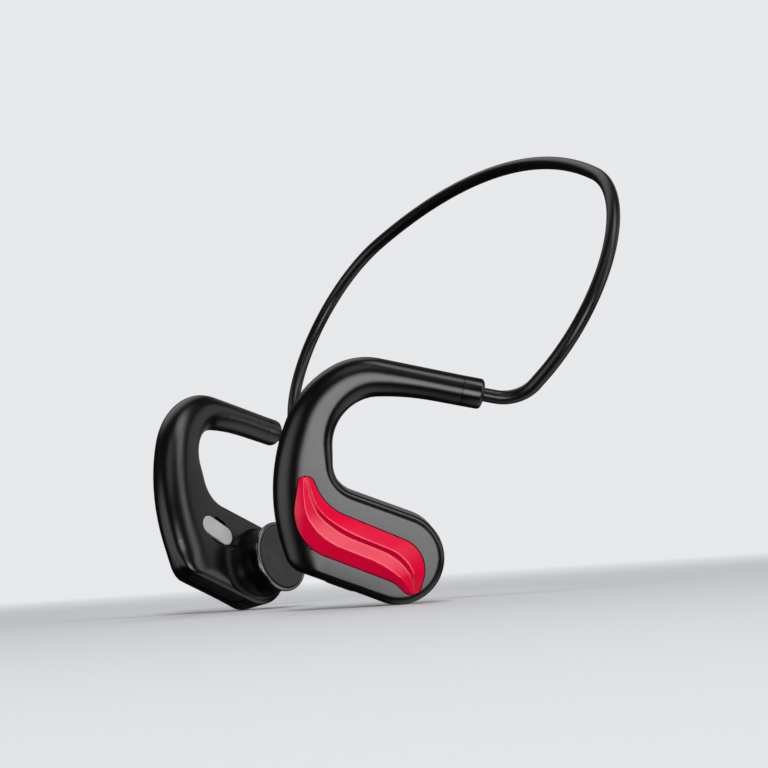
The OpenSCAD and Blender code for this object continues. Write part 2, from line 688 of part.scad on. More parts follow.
module right_pole_plate() color([0.55, 0.55, 0.57]) right() pole_plate();
module left_bracket() color([0.3, 0.3, 0.32]) left() bracket();
module right_bracket() color([0.3, 0.3, 0.32]) right() bracket();
module left_bracket_screws() color([0.6, 0.6, 0.6]) left()
    bracket_screws();
module right_bracket_screws() color([0.6, 0.6, 0.6]) right()
    bracket_screws();
module left_barrel_gasket() color([0.15, 0.15, 0.15]) left()
    barrel_gasket();
module right_barrel_gasket() color([0.15, 0.15, 0.15]) right()
    barrel_gasket();

// ---- left pod electronics ----
board_y = -2.2;
board_h = 1;
// board outline: from the round end forward along the pod
module board(l, r) in_plane(board_y, board_h) rotate(180 - pod_slope)
    translate([l / 2, 0]) stadium(l + 2 * r, 2 * r);
module charge_board() color([0.1, 0.35, 0.2]) left() board(18, 8.2);
battery_l = 14;
battery_w = 11;
battery_h = 4.4;
module battery() color([0.7, 0.7, 0.72]) left()
    in_plane(-board_y, battery_h) translate([-18.6, 11.4]) rotate(-pod_slope)
        offset(r = 1) square([battery_w - 2, battery_l - 2], center = true);
// side-acting switch on the board, plunger facing the edge
switch_depth = 3.5;
module edge_switch(gap) {
    translate([-1.75, board_y, -switch_depth - 2.2])
        cube([3.5, 2.6, 2.2]);
    translate([0, board_y + 1.3, -switch_depth]) cylinder(r = 0.6, h = gap);
}
module power_switch() color([0.75, 0.75, 0.7]) left()
    on_underside(button_at) edge_switch(0.2);
stem_end = 2.8;
module power_button() color([0.06, 0.06, 0.07]) left()
    on_underside(button_at) union() {
        translate([0, 0, -1.6]) linear_extrude(2.1)
            stadium(button_l, button_w);
        translate([0, 0, -2.3]) linear_extrude(0.7)
            stadium(button_l + 1.2, button_w + 1.2);
        translate([0, board_y + 1.3, -stem_end])
            cylinder(r = 0.7, h = 0.6);
    }
module microphone() color([0.7, 0.65, 0.4]) left() on_underside(mic_at)
    difference() {
        translate([-1.5, board_y, -3]) cube([3, 3.4, 1.2]);
        translate([0, 0, -2.4]) cylinder(r = 0.4, h = 1);
    }
module microphone_mesh() color([0.3, 0.3, 0.3]) left()
    on_underside(mic_at) translate([0, 0, -1.7]) cylinder(r = 1.1, h = 0.25);

// ---- right pod electronics and controls ----
module main_board() color([0.1, 0.3, 0.2]) right() board(20, 8.2);
module radio_chip() color([0.12, 0.12, 0.12]) right()
    in_plane(board_y + 1, 1) translate([-6, 2]) rotate(-pod_slope)
        square([6, 6], center = true);
module charging_socket() color([0.7, 0.7, 0.72]) right() difference() {
    at_port(board_y) linear_extrude(cover_seat - board_y)
        stadium(socket_l, socket_w);
    at_port(board_y + 2.6) linear_extrude(6) stadium(8.34, 2.56);
}
plug_l = 8.1;
plug_w = 2.3;
module port_cover() color([0.62, 0.64, 0.64]) right() union() {
    at_port(cover_seat + 0.02) linear_extrude(1) stadium(cover_l, cover_w);
    at_port(cover_seat - 3) linear_extrude(3.1) stadium(plug_l, plug_w);
}
rocker_inset = 0.2;
rocker_h = 1.5;
post_x = 7;
post_end = 2.3;
module volume_rocker() color([0.05, 0.05, 0.05]) right()
    on_underside(rocker_at) difference() {
        union() {
            translate([0, rocker_off, -rocker_inset - rocker_h])
                linear_extrude(rocker_h) stadium(rocker_l, rocker_w);
            translate([0, 1.7, -pin_depth]) rotate([90, 0, 0])
                cylinder(r = 1.4, h = 3.4);
            for (s = [-1, 1]) translate([s * post_x, board_y + 1.3, -post_end])
                cylinder(r = 0.7, h = post_end - rocker_inset - 0.5);
        }
        translate([0, 3, -pin_depth]) rotate([90, 0, 0])
            cylinder(r = pin_r + fit, h = 6);
    }
module rocker_pin() color([0.6, 0.6, 0.62]) right()
    on_underside(rocker_at) translate([0, pin_l / 2, -pin_depth])
        rotate([90, 0, 0]) cylinder(r = pin_r, h = pin_l);
module volume_switches() color([0.75, 0.75, 0.7]) right()
    on_underside(rocker_at) for (s = [-1, 1]) translate([s * post_x, 0, 0])
        edge_switch(0.6);

// ---- output ----
left_outer_shell();
left_inner_shell();
left_inlay();
left_cap();
left_barrel();
left_rim_ring();
left_skin_pad();
left_voice_coil();
left_suspension();
left_magnet();
left_yoke();
left_pole_plate();
left_bracket();
left_bracket_screws();
left_barrel_gasket();
left_band_sleeve();
left_memory_wire();
left_harness();
battery();
charge_board();
power_button();
power_switch();
microphone();
microphone_mesh();
right_outer_shell();
right_inner_shell();
right_inlay();
right_cap();
right_barrel();
right_rim_ring();
right_skin_pad();
right_voice_coil();
right_suspension();
right_magnet();
right_yoke();
right_pole_plate();
right_bracket();
right_bracket_screws();
right_barrel_gasket();
right_band_sleeve();
right_memory_wire();
right_harness();
main_board();
radio_chip();
charging_socket();
port_cover();
volume_rocker();
rocker_pin();
volume_switches();
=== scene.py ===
import math

import bmesh
import bpy
import numpy as np
from mathutils import Matrix, Vector

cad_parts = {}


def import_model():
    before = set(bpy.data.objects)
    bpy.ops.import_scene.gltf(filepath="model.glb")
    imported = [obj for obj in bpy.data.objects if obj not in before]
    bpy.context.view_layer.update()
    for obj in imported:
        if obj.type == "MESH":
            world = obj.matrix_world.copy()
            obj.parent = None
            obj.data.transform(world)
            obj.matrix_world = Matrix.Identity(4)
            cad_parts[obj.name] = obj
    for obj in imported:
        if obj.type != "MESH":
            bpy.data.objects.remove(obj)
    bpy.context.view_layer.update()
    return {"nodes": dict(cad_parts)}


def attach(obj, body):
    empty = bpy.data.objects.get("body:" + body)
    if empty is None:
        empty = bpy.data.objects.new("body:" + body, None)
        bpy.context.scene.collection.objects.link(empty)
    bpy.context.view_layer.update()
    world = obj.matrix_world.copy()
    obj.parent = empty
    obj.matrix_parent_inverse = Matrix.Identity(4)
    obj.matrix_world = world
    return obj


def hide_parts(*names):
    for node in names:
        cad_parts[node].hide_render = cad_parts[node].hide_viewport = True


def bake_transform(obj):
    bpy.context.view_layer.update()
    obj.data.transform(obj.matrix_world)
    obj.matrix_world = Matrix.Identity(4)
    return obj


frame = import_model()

# Bone conduction headphones. An earpiece is drawn in millimetres in its own frame:
# x to the rear, z up, y towards the head, with the speaker's axis at the origin.
# LEFT and RIGHT set it in the row frame; the neckband is drawn there directly.
MM = 0.001

# ---------------------------------------------------------------- stance
POD_GAP, TOE_IN, LEAN_OUT, NOSE_UP = 97.0, 23.2, 9.8, 2.8
POD_X, POD_Z = -19.8, 13.12
POD_R, POD_HALF, POD_SLOPE, WALL = 12.6, 6.0, 20.7, 1.4
EDGE_R, FRONT_R, CORNER_R = 2.2, 7.0, 6.5
TUBE_R, TUBE_SLOPE = 4.2, 11.0
SEAM = np.array([17.5, 45.3])
GAP_X, GAP_TOP, GAP_R_TOP, GAP_R_LOW = -17.65, 43.9, 13.0, 9.0
POD_FLAT = 4.2


def rot(deg, axis):
    """Turn about a main axis."""
    return Matrix.Rotation(math.radians(deg), 4, axis)


LEFT = (Matrix.Translation((POD_X, -POD_GAP / 2, POD_Z)) @ rot(-TOE_IN, "Z")
        @ rot(LEAN_OUT, "X") @ rot(NOSE_UP, "Y"))
RIGHT = Matrix.Scale(-1, 4, (0, 1, 0)) @ LEFT
SIDES = {"left": LEFT, "right": RIGHT}


# ---------------------------------------------------------------- outline
def polar(r, deg):
    """Plane vector of a length and a heading."""
    a = math.radians(deg)
    return np.array([r * math.cos(a), r * math.sin(a)])


def arc(c, r, a0, a1, n=120):
    return np.array([np.asarray(c, float) + polar(r, a)
                     for a in np.linspace(a0, a1, n + 1)])


def respace(p, n):
    """Evenly spaced points along a line in the plane or in space."""
    p = np.asarray(p, float)
    s = np.r_[0, np.cumsum(np.linalg.norm(np.diff(p, axis=0), axis=1))]
    t = np.linspace(0, s[-1], n + 1)
    return np.column_stack([np.interp(t, s, c) for c in p.T])


def smooth(t):
    """Smooth step from 0 to 1."""
    t = np.clip(t, 0, 1)
    return t * t * (3 - 2 * t)


def blur(a, sigma):
    """Gaussian smoothing along stations, ends held."""
    a = np.asarray(a, float)
    n = int(3 * sigma) + 1
    k = np.exp(-0.5 * (np.arange(-n, n + 1) / sigma) ** 2)
    k /= k.sum()
    cols = a.reshape(len(a), -1)
    out = []
    for c in cols.T:
        head = 2 * c[0] - c[n:0:-1]
        tail = 2 * c[-1] - c[-2:-n - 2:-1]
        out.append(np.convolve(np.r_[head, c, tail], k, "valid"))
    return np.array(out).T.reshape(a.shape)


CROWN_R, CROWN_TURN, BROW_R, BROW_TURN, FRONT_CURVE = 18.85, 39.4, 27.3, 38.5, 52.0
CROWN_X, CROWN_Z, FRONT_SPLIT = -8.4, 35.8, 0.62
crown_c = np.array([CROWN_X, CROWN_Z])
crown_a0 = 90 - TUBE_SLOPE
crown_a1 = crown_a0 + CROWN_TURN
brow_c = crown_c + polar(CROWN_R - BROW_R, crown_a1)
brow_a1 = crown_a1 + BROW_TURN
front_c = brow_c + polar(BROW_R - FRONT_CURVE, brow_a1)
UNDER_A = 270 - POD_SLOPE
under_n = polar(1, UNDER_A)
under_t = np.array([-under_n[1], under_n[0]])
# centre of the lower corner: CORNER_R inside both the front curve and the underside
corner_in = (POD_R - CORNER_R) - front_c @ under_n
corner_reach = math.sqrt((FRONT_CURVE - CORNER_R) ** 2 - corner_in ** 2)
corner_u = front_c + under_n * corner_in - under_t * corner_reach
front_end = math.degrees(math.atan2(*(corner_u - front_c)[::-1])) % 360
front_mid = brow_a1 + (front_end - brow_a1) * FRONT_SPLIT
over_a = 90 - POD_SLOPE
over_n = polar(1, over_a)
top_c = np.array([GAP_X + GAP_R_TOP, GAP_TOP - GAP_R_TOP])
low_x = GAP_X + GAP_R_LOW
low_c = np.array([low_x, (POD_R + GAP_R_LOW - low_x * over_n[0]) / over_n[1]])
tube_n = polar(1, 90 - TUBE_SLOPE)

# zones in the same order on both sides: tube, crown, front, lower corner,
# underside, nose; ZONE_N stations in each
outer_zones = [
    [SEAM + tube_n * TUBE_R, crown_c + polar(CROWN_R, crown_a0)],
    np.vstack([arc(crown_c, CROWN_R, crown_a0, crown_a1),
               arc(brow_c, BROW_R, crown_a1, brow_a1)]),
    arc(front_c, FRONT_CURVE, brow_a1, front_mid),
    np.vstack([arc(front_c, FRONT_CURVE, front_mid, front_end),
               arc(corner_u, CORNER_R, front_end, UNDER_A)]),
    [corner_u + under_n * CORNER_R, under_n * POD_R],
    arc([0, 0], POD_R, UNDER_A, 360)]
inner_zones = [
    [SEAM - tube_n * TUBE_R, [7.5, 43.0], [1.5, 43.75], top_c + [0, GAP_R_TOP]],
    arc(top_c, GAP_R_TOP, 90, 180),
    [[GAP_X, top_c[1]], [GAP_X, low_c[1]]],
    arc(low_c, GAP_R_LOW, 180, 180 + over_a),
    [low_c - over_n * GAP_R_LOW, over_n * POD_R],
    arc([0, 0], POD_R, over_a, 0)]
ZONE_N = [26, 64, 24, 56, 34, 52]


def chain(zones):
    """All zones as one run of stations, ending at the nose."""
    pts = [respace(z, n)[:-1] for z, n in zip(zones, ZONE_N)]
    return np.vstack(pts + [[[POD_R, 0]]])


side_out, side_in = chain(outer_zones), chain(inner_zones)
tube_part = slice(0, ZONE_N[0] + 8)
side_in[tube_part] = blur(side_in[tube_part], 3)
LAST = len(side_out) - 1
zpos = np.concatenate([k + np.arange(n) / n for k, n in enumerate(ZONE_N)] + [[6.0]])


def normals(p, sign):
    """Unit vectors into the body along one side."""
    t = np.gradient(p, axis=0)
    t[0] = polar(1, 180 - TUBE_SLOPE)
    t[-1] = [0, sign]
    t /= np.linalg.norm(t, axis=1)[:, None]
    return np.c_[-t[:, 1], t[:, 0]] * sign


n_out, n_in = normals(side_out, 1), normals(side_in, -1)


def by_zone(zones, values, soften):
    """Value at each station: knots by zone position, then smoothed."""
    return blur(np.interp(zpos, zones, values), soften)


# half thickness; height of the straight wall on the outer edge, the outer half's
# own lower wall, and the inner edge; reach of the inner edge's round; power of
# the crown's section, where 2 is an ellipse
half_at = by_zone([0, 1, 2, 3, 6], [TUBE_R, 4.75, 5.6, POD_HALF, POD_HALF], 9)
flat_knots = [0, 2, 3, 3.55, 4, 6], [0, 0, 0.5, 0.8, POD_FLAT, POD_FLAT]
flat_out = np.where(zpos < 3.4, by_zone(*flat_knots, 8), by_zone(*flat_knots, 2.5))
wall_out = by_zone([0, 2, 3, 3.55, 4, 4.8, 5.1, 6],
                   [0, 0, 0.5, 0.8, 2.4, 2.4, POD_FLAT, POD_FLAT], 6)
flat_in = by_zone([0, 1.2, 2.2, 3, 4, 6], [0, 0, 3.0, 3.4, POD_FLAT, POD_FLAT], 8)
reach_in = by_zone([0, 2, 3, 4, 6], [3.2, 3.2, 2.6, EDGE_R, EDGE_R], 8)
crown_power = by_zone([0, 0.3, 1.2, 1.6, 2.3, 6], [2, 2, 2.4, 2.4, 2, 2], 8)
Z4 = sum(ZONE_N[:3])
Z5 = Z4 + ZONE_N[3]
Z6 = Z5 + ZONE_N[4]
mid = (side_out + side_in) / 2
CREASE_AT = 6 / 11
CREASE = Z4 + int(round(ZONE_N[3] * CREASE_AT))


# zone position where the flat face starts to open on each side, and over how much
FACE_OUT, FACE_IN = (1.5, 1.4), (0.9, 1.2)


def border_outer(front, edge, mitre):
    """Border of the flat face along the crown, front and underside."""
    m = smooth((zpos - FACE_OUT[0]) / FACE_OUT[1])[:, None]
    reach = np.interp(zpos, [0, 2.6, 3.4, 6], [FRONT_R, FRONT_R, front, front])[:, None]
    f = mid * (1 - m) + (side_out + n_out * reach) * m
    start = side_out[CREASE] + n_out[CREASE] * front
    face_end = under_n * (POD_R - edge)
    for i in range(CREASE, Z5):
        f[i] = start + (mitre - start) * (i - CREASE) / (Z5 - CREASE)
    for i in range(Z5, Z6):
        f[i] = mitre + (face_end - mitre) * (i - Z5) / (Z6 - Z5)
    tip = edge + (EDGE_R - edge) * smooth((zpos[Z6:] - 5) / 0.6)[:, None]
    f[Z6:] = side_out[Z6:] + n_out[Z6:] * tip
    # softened everywhere, but less within a few stations of the mitre
    w = smooth(np.abs(np.arange(len(f)) - Z5) / 14.0)[:, None]
    return blur(f, 1.6) * (1 - w) + blur(f, 5) * w


def border_inner():
    """Border of the flat face along the inside of the hook and the pod's top."""
    m = smooth((zpos - FACE_IN[0]) / FACE_IN[1])[:, None]
    f = mid * (1 - m) + (side_in + n_in * reach_in[:, None]) * m
    return blur(f, 5)


# the outer half (-1) has tighter edges than the half facing the head (+1); the
# mitre is where the front's and the underside's borders meet
border_out = {-1: border_outer(8.8, 2.6, np.array([-21.6, -2.6])),
              1: border_outer(8.7, 3.5, np.array([-20.4, -1.3]))}
border_in = border_inner()
ON_TUBE = zpos <= FACE_IN[0]
for border in (border_out[-1], border_out[1], border_in):
    border[ON_TUBE] = mid[ON_TUBE]
    border[-1] = [POD_R - EDGE_R, 0]


# ---------------------------------------------------------------- meshes
WELD = 0.002 * MM


def new_object(name, verts, faces, matrix=None):
    """Clean mesh object; with a matrix, its points are in mm in that frame."""
    me = bpy.data.meshes.new(name)
    me.from_pydata([tuple(v) for v in verts], [], faces)
    me.validate()
    if matrix is not None:
        me.transform(Matrix.Scale(MM, 4))
        me.transform(matrix_mm(matrix))
    ob = bpy.data.objects.new(name, me)
    bpy.context.scene.collection.objects.link(ob)
    bm = bmesh.new()
    bm.from_mesh(me)
    bmesh.ops.remove_doubles(bm, verts=bm.verts, dist=WELD)
    bmesh.ops.recalc_face_normals(bm, faces=bm.faces)
    bm.to_mesh(me)
    bm.free()
    return ob


def matrix_mm(m):
    """The same frame with its place in metres."""
    out = m.copy()
    out.translation = m.translation * MM
    return out


def shade(ob, angle):
    """Smooth shading with sharp edges above an angle."""
    me = ob.data
    for p in me.polygons:
        p.use_smooth = True
    me.set_sharp_from_angle(angle=math.radians(angle))


OUTER_RINGS, INNER_RINGS = 14, 5
SEAM_BEVEL, WALL_STEP, ROUND_MIN = 0.03, 0.05, 0.2


def half_shell(name, matrix, sign):
    """Hollow half of an earpiece; sign -1 is the outer side, +1 the inner."""
    verts, faces = [], []

    def path(a_out, a_in):
        return [*a_out, *a_in[::-1][1:]]

    def ring(k, rings, inset):
        a = math.pi / 2 * k / rings
        pts = []
        wall = wall_out if sign < 0 else flat_out
        for p, n, f, flat in ((side_out, n_out, border_out[sign], wall),
                              (side_in, n_in, border_in, flat_in)):
            q = p + n * inset
            top = half_at - inset
            low = np.minimum(flat + WALL_STEP, top - ROUND_MIN)
            power = crown_power if sign < 0 and p is side_out else np.full(len(p), 2.0)
            across, up = math.cos(a) ** (2 / power), math.sin(a) ** (2 / power)
            xz = q + (f - q) * (1 - across)[:, None]
            y = low + (top - low) * up
            pts.append(np.c_[xz[:, 0], sign * y, xz[:, 1]])
        return path(*pts)

    def rim(inset, y):
        pts = []
        for p, n in ((side_out, n_out), (side_in, n_in)):
            q = p + n * inset
            pts.append(np.c_[q[:, 0], np.full(len(q), sign * y), q[:, 1]])
        return path(*pts)

    count = 2 * LAST + 1
    outer = [rim(SEAM_BEVEL, 0.0), rim(0.0, SEAM_BEVEL)]
    outer += [ring(k, OUTER_RINGS, 0) for k in range(OUTER_RINGS + 1)]
    inner = [rim(WALL, 0.0)] + [ring(k, INNER_RINGS, WALL) for k in range(INNER_RINGS + 1)]
    for r in outer + inner:
        verts.extend(r)
    top, base = len(outer) - 1, len(outer)
    last_inner = base + len(inner) - 1

    def at(row, j):
        return row * count + j

    for row in [*range(top), *range(base, last_inner)]:
        for j in range(count - 1):
            faces.append((at(row, j), at(row, j + 1), at(row + 1, j + 1), at(row + 1, j)))
    for row in (top, last_inner):
        for j in range(LAST):
            q = [at(row, j), at(row, j + 1), at(row, count - 2 - j), at(row, count - 1 - j)]
            if q[1] == q[2]:
                q.pop(2)
            faces.append(tuple(q))
    for j in range(count - 1):
        faces.append((at(0, j), at(0, j + 1), at(base, j + 1), at(base, j)))
    outer_end = [at(r, 0) for r in range(top + 1)]
    outer_end += [at(r, count - 1) for r in range(top - 1, -1, -1)]
    inner_end = [at(r, 0) for r in range(base, last_inner + 1)]
    inner_end += [at(r, count - 1) for r in range(last_inner - 1, base - 1, -1)]
    faces.extend(stitch(outer_end, inner_end))
    return new_object(name, verts, faces, matrix)


def stitch(a, b):
    """Triangles between two open chains of different length."""
    out, i, j = [], 0, 0
    la, lb = len(a) - 1, len(b) - 1
    while i < la or j < lb:
        if j == lb or (i < la and (i + 1) / la <= (j + 1) / lb):
            out.append((a[i], a[i + 1], b[j]))
            i += 1
        else:
            out.append((a[i], b[j + 1], b[j]))
            j += 1
    return out


def rounded_profile(points, radii, steps):
    """Profile polyline with each inner corner rounded."""
    pts = [np.array(p, float) for p in points]
    out = [pts[0]]
    for i in range(1, len(pts) - 1):
        r, b = radii[i], pts[i]
        u, v = pts[i - 1] - b, pts[i + 1] - b
        lu, lv = np.linalg.norm(u), np.linalg.norm(v)
        u, v = u / lu, v / lv
        c = float(np.clip(u @ v, -1, 1))
        if r <= 0 or c < -0.9999:
            out.append(b)
            continue
        half = math.acos(c) / 2
        t = min(r / math.tan(half), lu * 0.49, lv * 0.49)
        r = t * math.tan(half)
        s, e = b + u * t, b + v * t
        o = b + (u + v) / np.linalg.norm(u + v) * (r / math.sin(half))
        a0 = math.atan2(*(s - o)[::-1])
        d = math.atan2(*(e - o)[::-1]) - a0
        d = (d + math.pi) % (2 * math.pi) - math.pi
        out += [o + r * np.array([math.cos(a0 + d * k / steps), math.sin(a0 + d * k / steps)])
                for k in range(steps + 1)]
    out.append(pts[-1])
    return out


def lathe(name, profile, matrix, segments=96, closed=True):
    """Turned body about local +y from (radius, y) points."""
    verts, faces, rows = [], [], []
    for r, y in profile:
        if r < 1e-6:
            rows.append([len(verts)])
            verts.append((0, y, 0))
        else:
            rows.append(list(range(len(verts), len(verts) + segments)))
            verts += [(r * math.cos(2 * math.pi * k / segments), y,
                       r * math.sin(2 * math.pi * k / segments)) for k in range(segments)]
    pairs = list(zip(rows, rows[1:] + rows[:1])) if closed else list(zip(rows, rows[1:]))
    for a, b in pairs:
        for k in range(segments):
            q = (k + 1) % segments
            if len(a) == 1 and len(b) == 1:
                continue
            if len(a) == 1:
                faces.append((a[0], b[q], b[k]))
            elif len(b) == 1:
                faces.append((a[k], a[q], b[0]))
            else:
                faces.append((a[k], a[q], b[q], b[k]))
    return new_object(name, verts, faces, matrix)


def stadium(l, w):
    """Outline of a slot with round ends, lying along x."""
    r, n = w / 2, 20
    pts = [((l - w) / 2 + r * math.cos(a), r * math.sin(a))
           for a in np.linspace(-math.pi / 2, math.pi / 2, n)]
    pts += [(-(l - w) / 2 + r * math.cos(a), r * math.sin(a))
            for a in np.linspace(math.pi / 2, 3 * math.pi / 2, n)]
    return pts


def plate(name, loops, matrix):
    """Closed body from equal-count loops of 3-D points, capped both ends."""
    n = len(loops[0])
    verts = [p for loop in loops for p in loop]
    faces = [tuple(range(n))[::-1], tuple((len(loops) - 1) * n + k for k in range(n))]
    for i in range(len(loops) - 1):
        for k in range(n):
            q = (k + 1) % n
            faces.append((i * n + k, i * n + q, (i + 1) * n + q, (i + 1) * n + k))
    return new_object(name, verts, faces, matrix)


EDGE_STEPS, CROWN_STEPS = 6, 8


def stadium_plate(name, l, w, z0, z1, edge, matrix, crown=0.0):
    """Stadium slab in x, y with rounded top edge and optional crown."""
    loops = [[(x, y, z0) for x, y in stadium(l, w)]]
    for k in range(EDGE_STEPS + 1):
        a = math.pi / 2 * k / EDGE_STEPS
        e = edge * (1 - math.cos(a))
        loops.append([(x, y, z1 - edge + edge * math.sin(a))
                      for x, y in stadium(l - 2 * e, w - 2 * e)])
    if crown:
        for k in range(1, CROWN_STEPS + 1):
            e = edge + (w / 2 - edge - 0.02) * k / CROWN_STEPS
            z = z1 + crown * (1 - (1 - k / CROWN_STEPS) ** 2)
            loops.append([(x, y, z) for x, y in stadium(l - 2 * e, w - 2 * e)])
    return plate(name, loops, matrix)


def cut(ob, cutter, painted_shade=None):
    """Take a body out of an object; the new faces may get the near-black matte of painted shade."""
    m = ob.modifiers.new("cut", "BOOLEAN")
    m.object = cutter
    m.operation = "DIFFERENCE"
    m.solver = "EXACT"
    if painted_shade:
        cutter.data.materials.append(MAT[painted_shade])
        m.material_mode = "TRANSFER"
    bpy.context.view_layer.update()
    dg = bpy.context.evaluated_depsgraph_get()
    me = bpy.data.meshes.new_from_object(ob.evaluated_get(dg))
    ob.modifiers.clear()
    old = ob.data
    ob.data = me
    bpy.data.meshes.remove(old)
    bpy.data.objects.remove(cutter)


def join(name, parts):
    """One object from several."""
    bm = bmesh.new()
    for p in parts:
        bm.from_mesh(p.data)
        bpy.data.objects.remove(p)
    me = bpy.data.meshes.new(name)
    bm.to_mesh(me)
    bm.free()
    ob = bpy.data.objects.new(name, me)
    bpy.context.scene.collection.objects.link(ob)
    return ob


# ---------------------------------------------------------------- materials
def principled(mat):
    """A material's node tree and its main shader."""
    nt = mat.node_tree
    return nt, nt.nodes["Principled BSDF"]


def sum_of(nt, a, b):
    """Node that adds two values; each is a socket or a number."""
    add = nt.nodes.new("ShaderNodeMath")
    add.operation = "ADD"
    for socket, value in zip(add.inputs, (a, b)):
        if isinstance(value, float):
            socket.default_value = value
        else:
            nt.links.new(value, socket)
    return add.outputs[0]


def remap(nt, value, low, high, to_low=0.0, to_high=1.0, ease="LINEAR"):
    """Node that maps a value from one range to another."""
    node = nt.nodes.new("ShaderNodeMapRange")
    node.interpolation_type = ease
    for name, v in (("From Min", low), ("From Max", high), ("To Min", to_low), ("To Max", to_high)):
        node.inputs[name].default_value = v
    nt.links.new(value, node.inputs["Value"])
    return node.outputs["Result"]


def noise(nt, vector, scale, detail):
    """Noise value at a point."""
    node = nt.nodes.new("ShaderNodeTexNoise")
    node.inputs["Scale"].default_value = scale
    node.inputs["Detail"].default_value = detail
    nt.links.new(vector, node.inputs["Vector"])
    return node.outputs["Fac"]


def two_tone(nt, value, low, high, dark, light):
    """Colour between two tones."""
    node = nt.nodes.new("ShaderNodeValToRGB")
    for element, at, tone in zip(node.color_ramp.elements, (low, high), (dark, light)):
        element.position = at
        element.color = (*np.clip(tone, 0, 1), 1)
    nt.links.new(value, node.inputs["Fac"])
    return node.outputs["Color"]


NOISE_LOW, NOISE_HIGH, GRAIN_DEPTH = 0.3, 0.7, 0.05 * MM


def finish(name, color, rough, vary, grain, bump, cells=None,
           rough_vary=0.06, metal=0.0, ior=1.5, spec=0.5, tint=None):
    """Moulded or turned finish: two noises drive colour, roughness and bump,
    and optional cells add a leathery grain."""
    mat = bpy.data.materials.new(name)
    mat.use_nodes = True
    nt, b = principled(mat)
    n, l = nt.nodes, nt.links
    point = n.new("ShaderNodeTexCoord").outputs["Object"]
    big, fine = noise(nt, point, grain / 12, 4), noise(nt, point, grain, 3)
    tones = np.array(color) * (1 - vary), np.array(tint or color) * (1 + vary)
    l.new(two_tone(nt, big, NOISE_LOW, NOISE_HIGH, *tones), b.inputs["Base Color"])
    worn = remap(nt, fine, NOISE_LOW, NOISE_HIGH, max(rough - rough_vary, 0.02), rough + rough_vary)
    l.new(worn, b.inputs["Roughness"])
    height = fine
    if cells:
        vor = n.new("ShaderNodeTexVoronoi")
        vor.inputs["Scale"].default_value = cells
        l.new(point, vor.inputs["Vector"])
        height = sum_of(nt, fine, vor.outputs["Distance"])
    bp = n.new("ShaderNodeBump")
    bp.inputs["Strength"].default_value = bump
    bp.inputs["Distance"].default_value = GRAIN_DEPTH
    l.new(height, bp.inputs["Height"])
    l.new(bp.outputs["Normal"], b.inputs["Normal"])
    b.inputs["Metallic"].default_value = metal
    b.inputs["IOR"].default_value = ior
    b.inputs["Specular IOR Level"].default_value = spec
    mat.diffuse_color = (*color, 1)
    return mat


MAT = {
    "shell": finish("shell_plastic", (0.003, 0.003, 0.0034), 0.25, 0.2, 1800, 0.006,
                    rough_vary=0.015, ior=1.53),
    # near-black matte with almost no reflection, for the walls and floors of cut recesses: painted
    # shade in the gaps and notches
    "painted_shade": finish("recess_shade_matte", (0.002, 0.002, 0.002), 0.9, 0.3, 1800, 0.02, spec=0.05),
    "barrel": finish("barrel_plastic", (0.0025, 0.0025, 0.0028), 0.27, 0.2, 1800, 0.006,
                     rough_vary=0.015, ior=1.53),
    "inlay": finish("inlay_red", (0.76, 0.0005, 0.04), 0.22, 0.03, 2200, 0.008,
                    rough_vary=0.02, spec=0.45),
    "cap": finish("cap_plastic", (0.003, 0.003, 0.0033), 0.21, 0.2, 1800, 0.01,
                  rough_vary=0.02, ior=1.53),
    "pad": finish("pad_silicone", (0.035, 0.035, 0.036), 0.6, 0.15, 3200, 0.05,
                  cells=5200, spec=0.3),
    "rim": finish("rim_plated", (0.2, 0.2, 0.205), 0.22, 0.1, 3000, 0.01, metal=1.0),
    "sleeve": finish("sleeve_silicone", (0.004, 0.004, 0.0045), 0.3, 0.25, 2400, 0.012,
                     cells=4200, rough_vary=0.02),
    "cover": finish("cover_plastic", (0.40, 0.41, 0.42), 0.5, 0.04, 2400, 0.03,
                    tint=(0.43, 0.44, 0.45)),
    "key": finish("key_plastic", (0.003, 0.003, 0.0032), 0.4, 0.2, 2600, 0.05,
                  cells=4600),
    "gasket": finish("gasket_rubber", (0.02, 0.02, 0.02), 0.7, 0.2, 1800, 0.1),
    "coil": finish("coil_wire", (0.65, 0.27, 0.1), 0.32, 0.2, 5200, 0.35, metal=1.0),
    "spring": finish("spring_sheet", (0.75, 0.6, 0.3), 0.28, 0.1, 2400, 0.05, metal=1.0),
    "magnet": finish("magnet_nickel", (0.62, 0.62, 0.64), 0.22, 0.08, 2600, 0.04, metal=1.0),
    "iron": finish("iron_plated", (0.42, 0.43, 0.45), 0.34, 0.1, 2600, 0.06, metal=1.0),
    "bracket": finish("bracket_nylon", (0.09, 0.09, 0.1), 0.5, 0.15, 2400, 0.1),
    "screws": finish("screw_steel", (0.55, 0.55, 0.56), 0.28, 0.1, 2600, 0.05, metal=1.0),
    "wire": finish("spring_wire", (0.6, 0.6, 0.62), 0.25, 0.08, 3200, 0.08, metal=1.0),
    "harness": finish("harness_wire", (0.45, 0.16, 0.05), 0.45, 0.2, 2600, 0.1),
    "battery": finish("battery_foil", (0.6, 0.6, 0.62), 0.35, 0.08, 1500, 0.35, metal=0.9),
    "board": finish("board_laminate", (0.015, 0.11, 0.05), 0.4, 0.3, 3600, 0.1,
                    cells=1800),
    "switch": finish("switch_body", (0.5, 0.5, 0.46), 0.4, 0.1, 2400, 0.06),
    "mic": finish("mic_can", (0.68, 0.55, 0.26), 0.3, 0.1, 2600, 0.05, metal=1.0),
    "mesh": finish("mic_mesh", (0.2, 0.2, 0.21), 0.4, 0.3, 9000, 0.6, metal=0.8),
    "chip": finish("chip_epoxy", (0.02, 0.02, 0.022), 0.5, 0.2, 3200, 0.15),
    "socket": finish("socket_steel", (0.55, 0.55, 0.57), 0.25, 0.08, 2600, 0.04, metal=1.0),
}


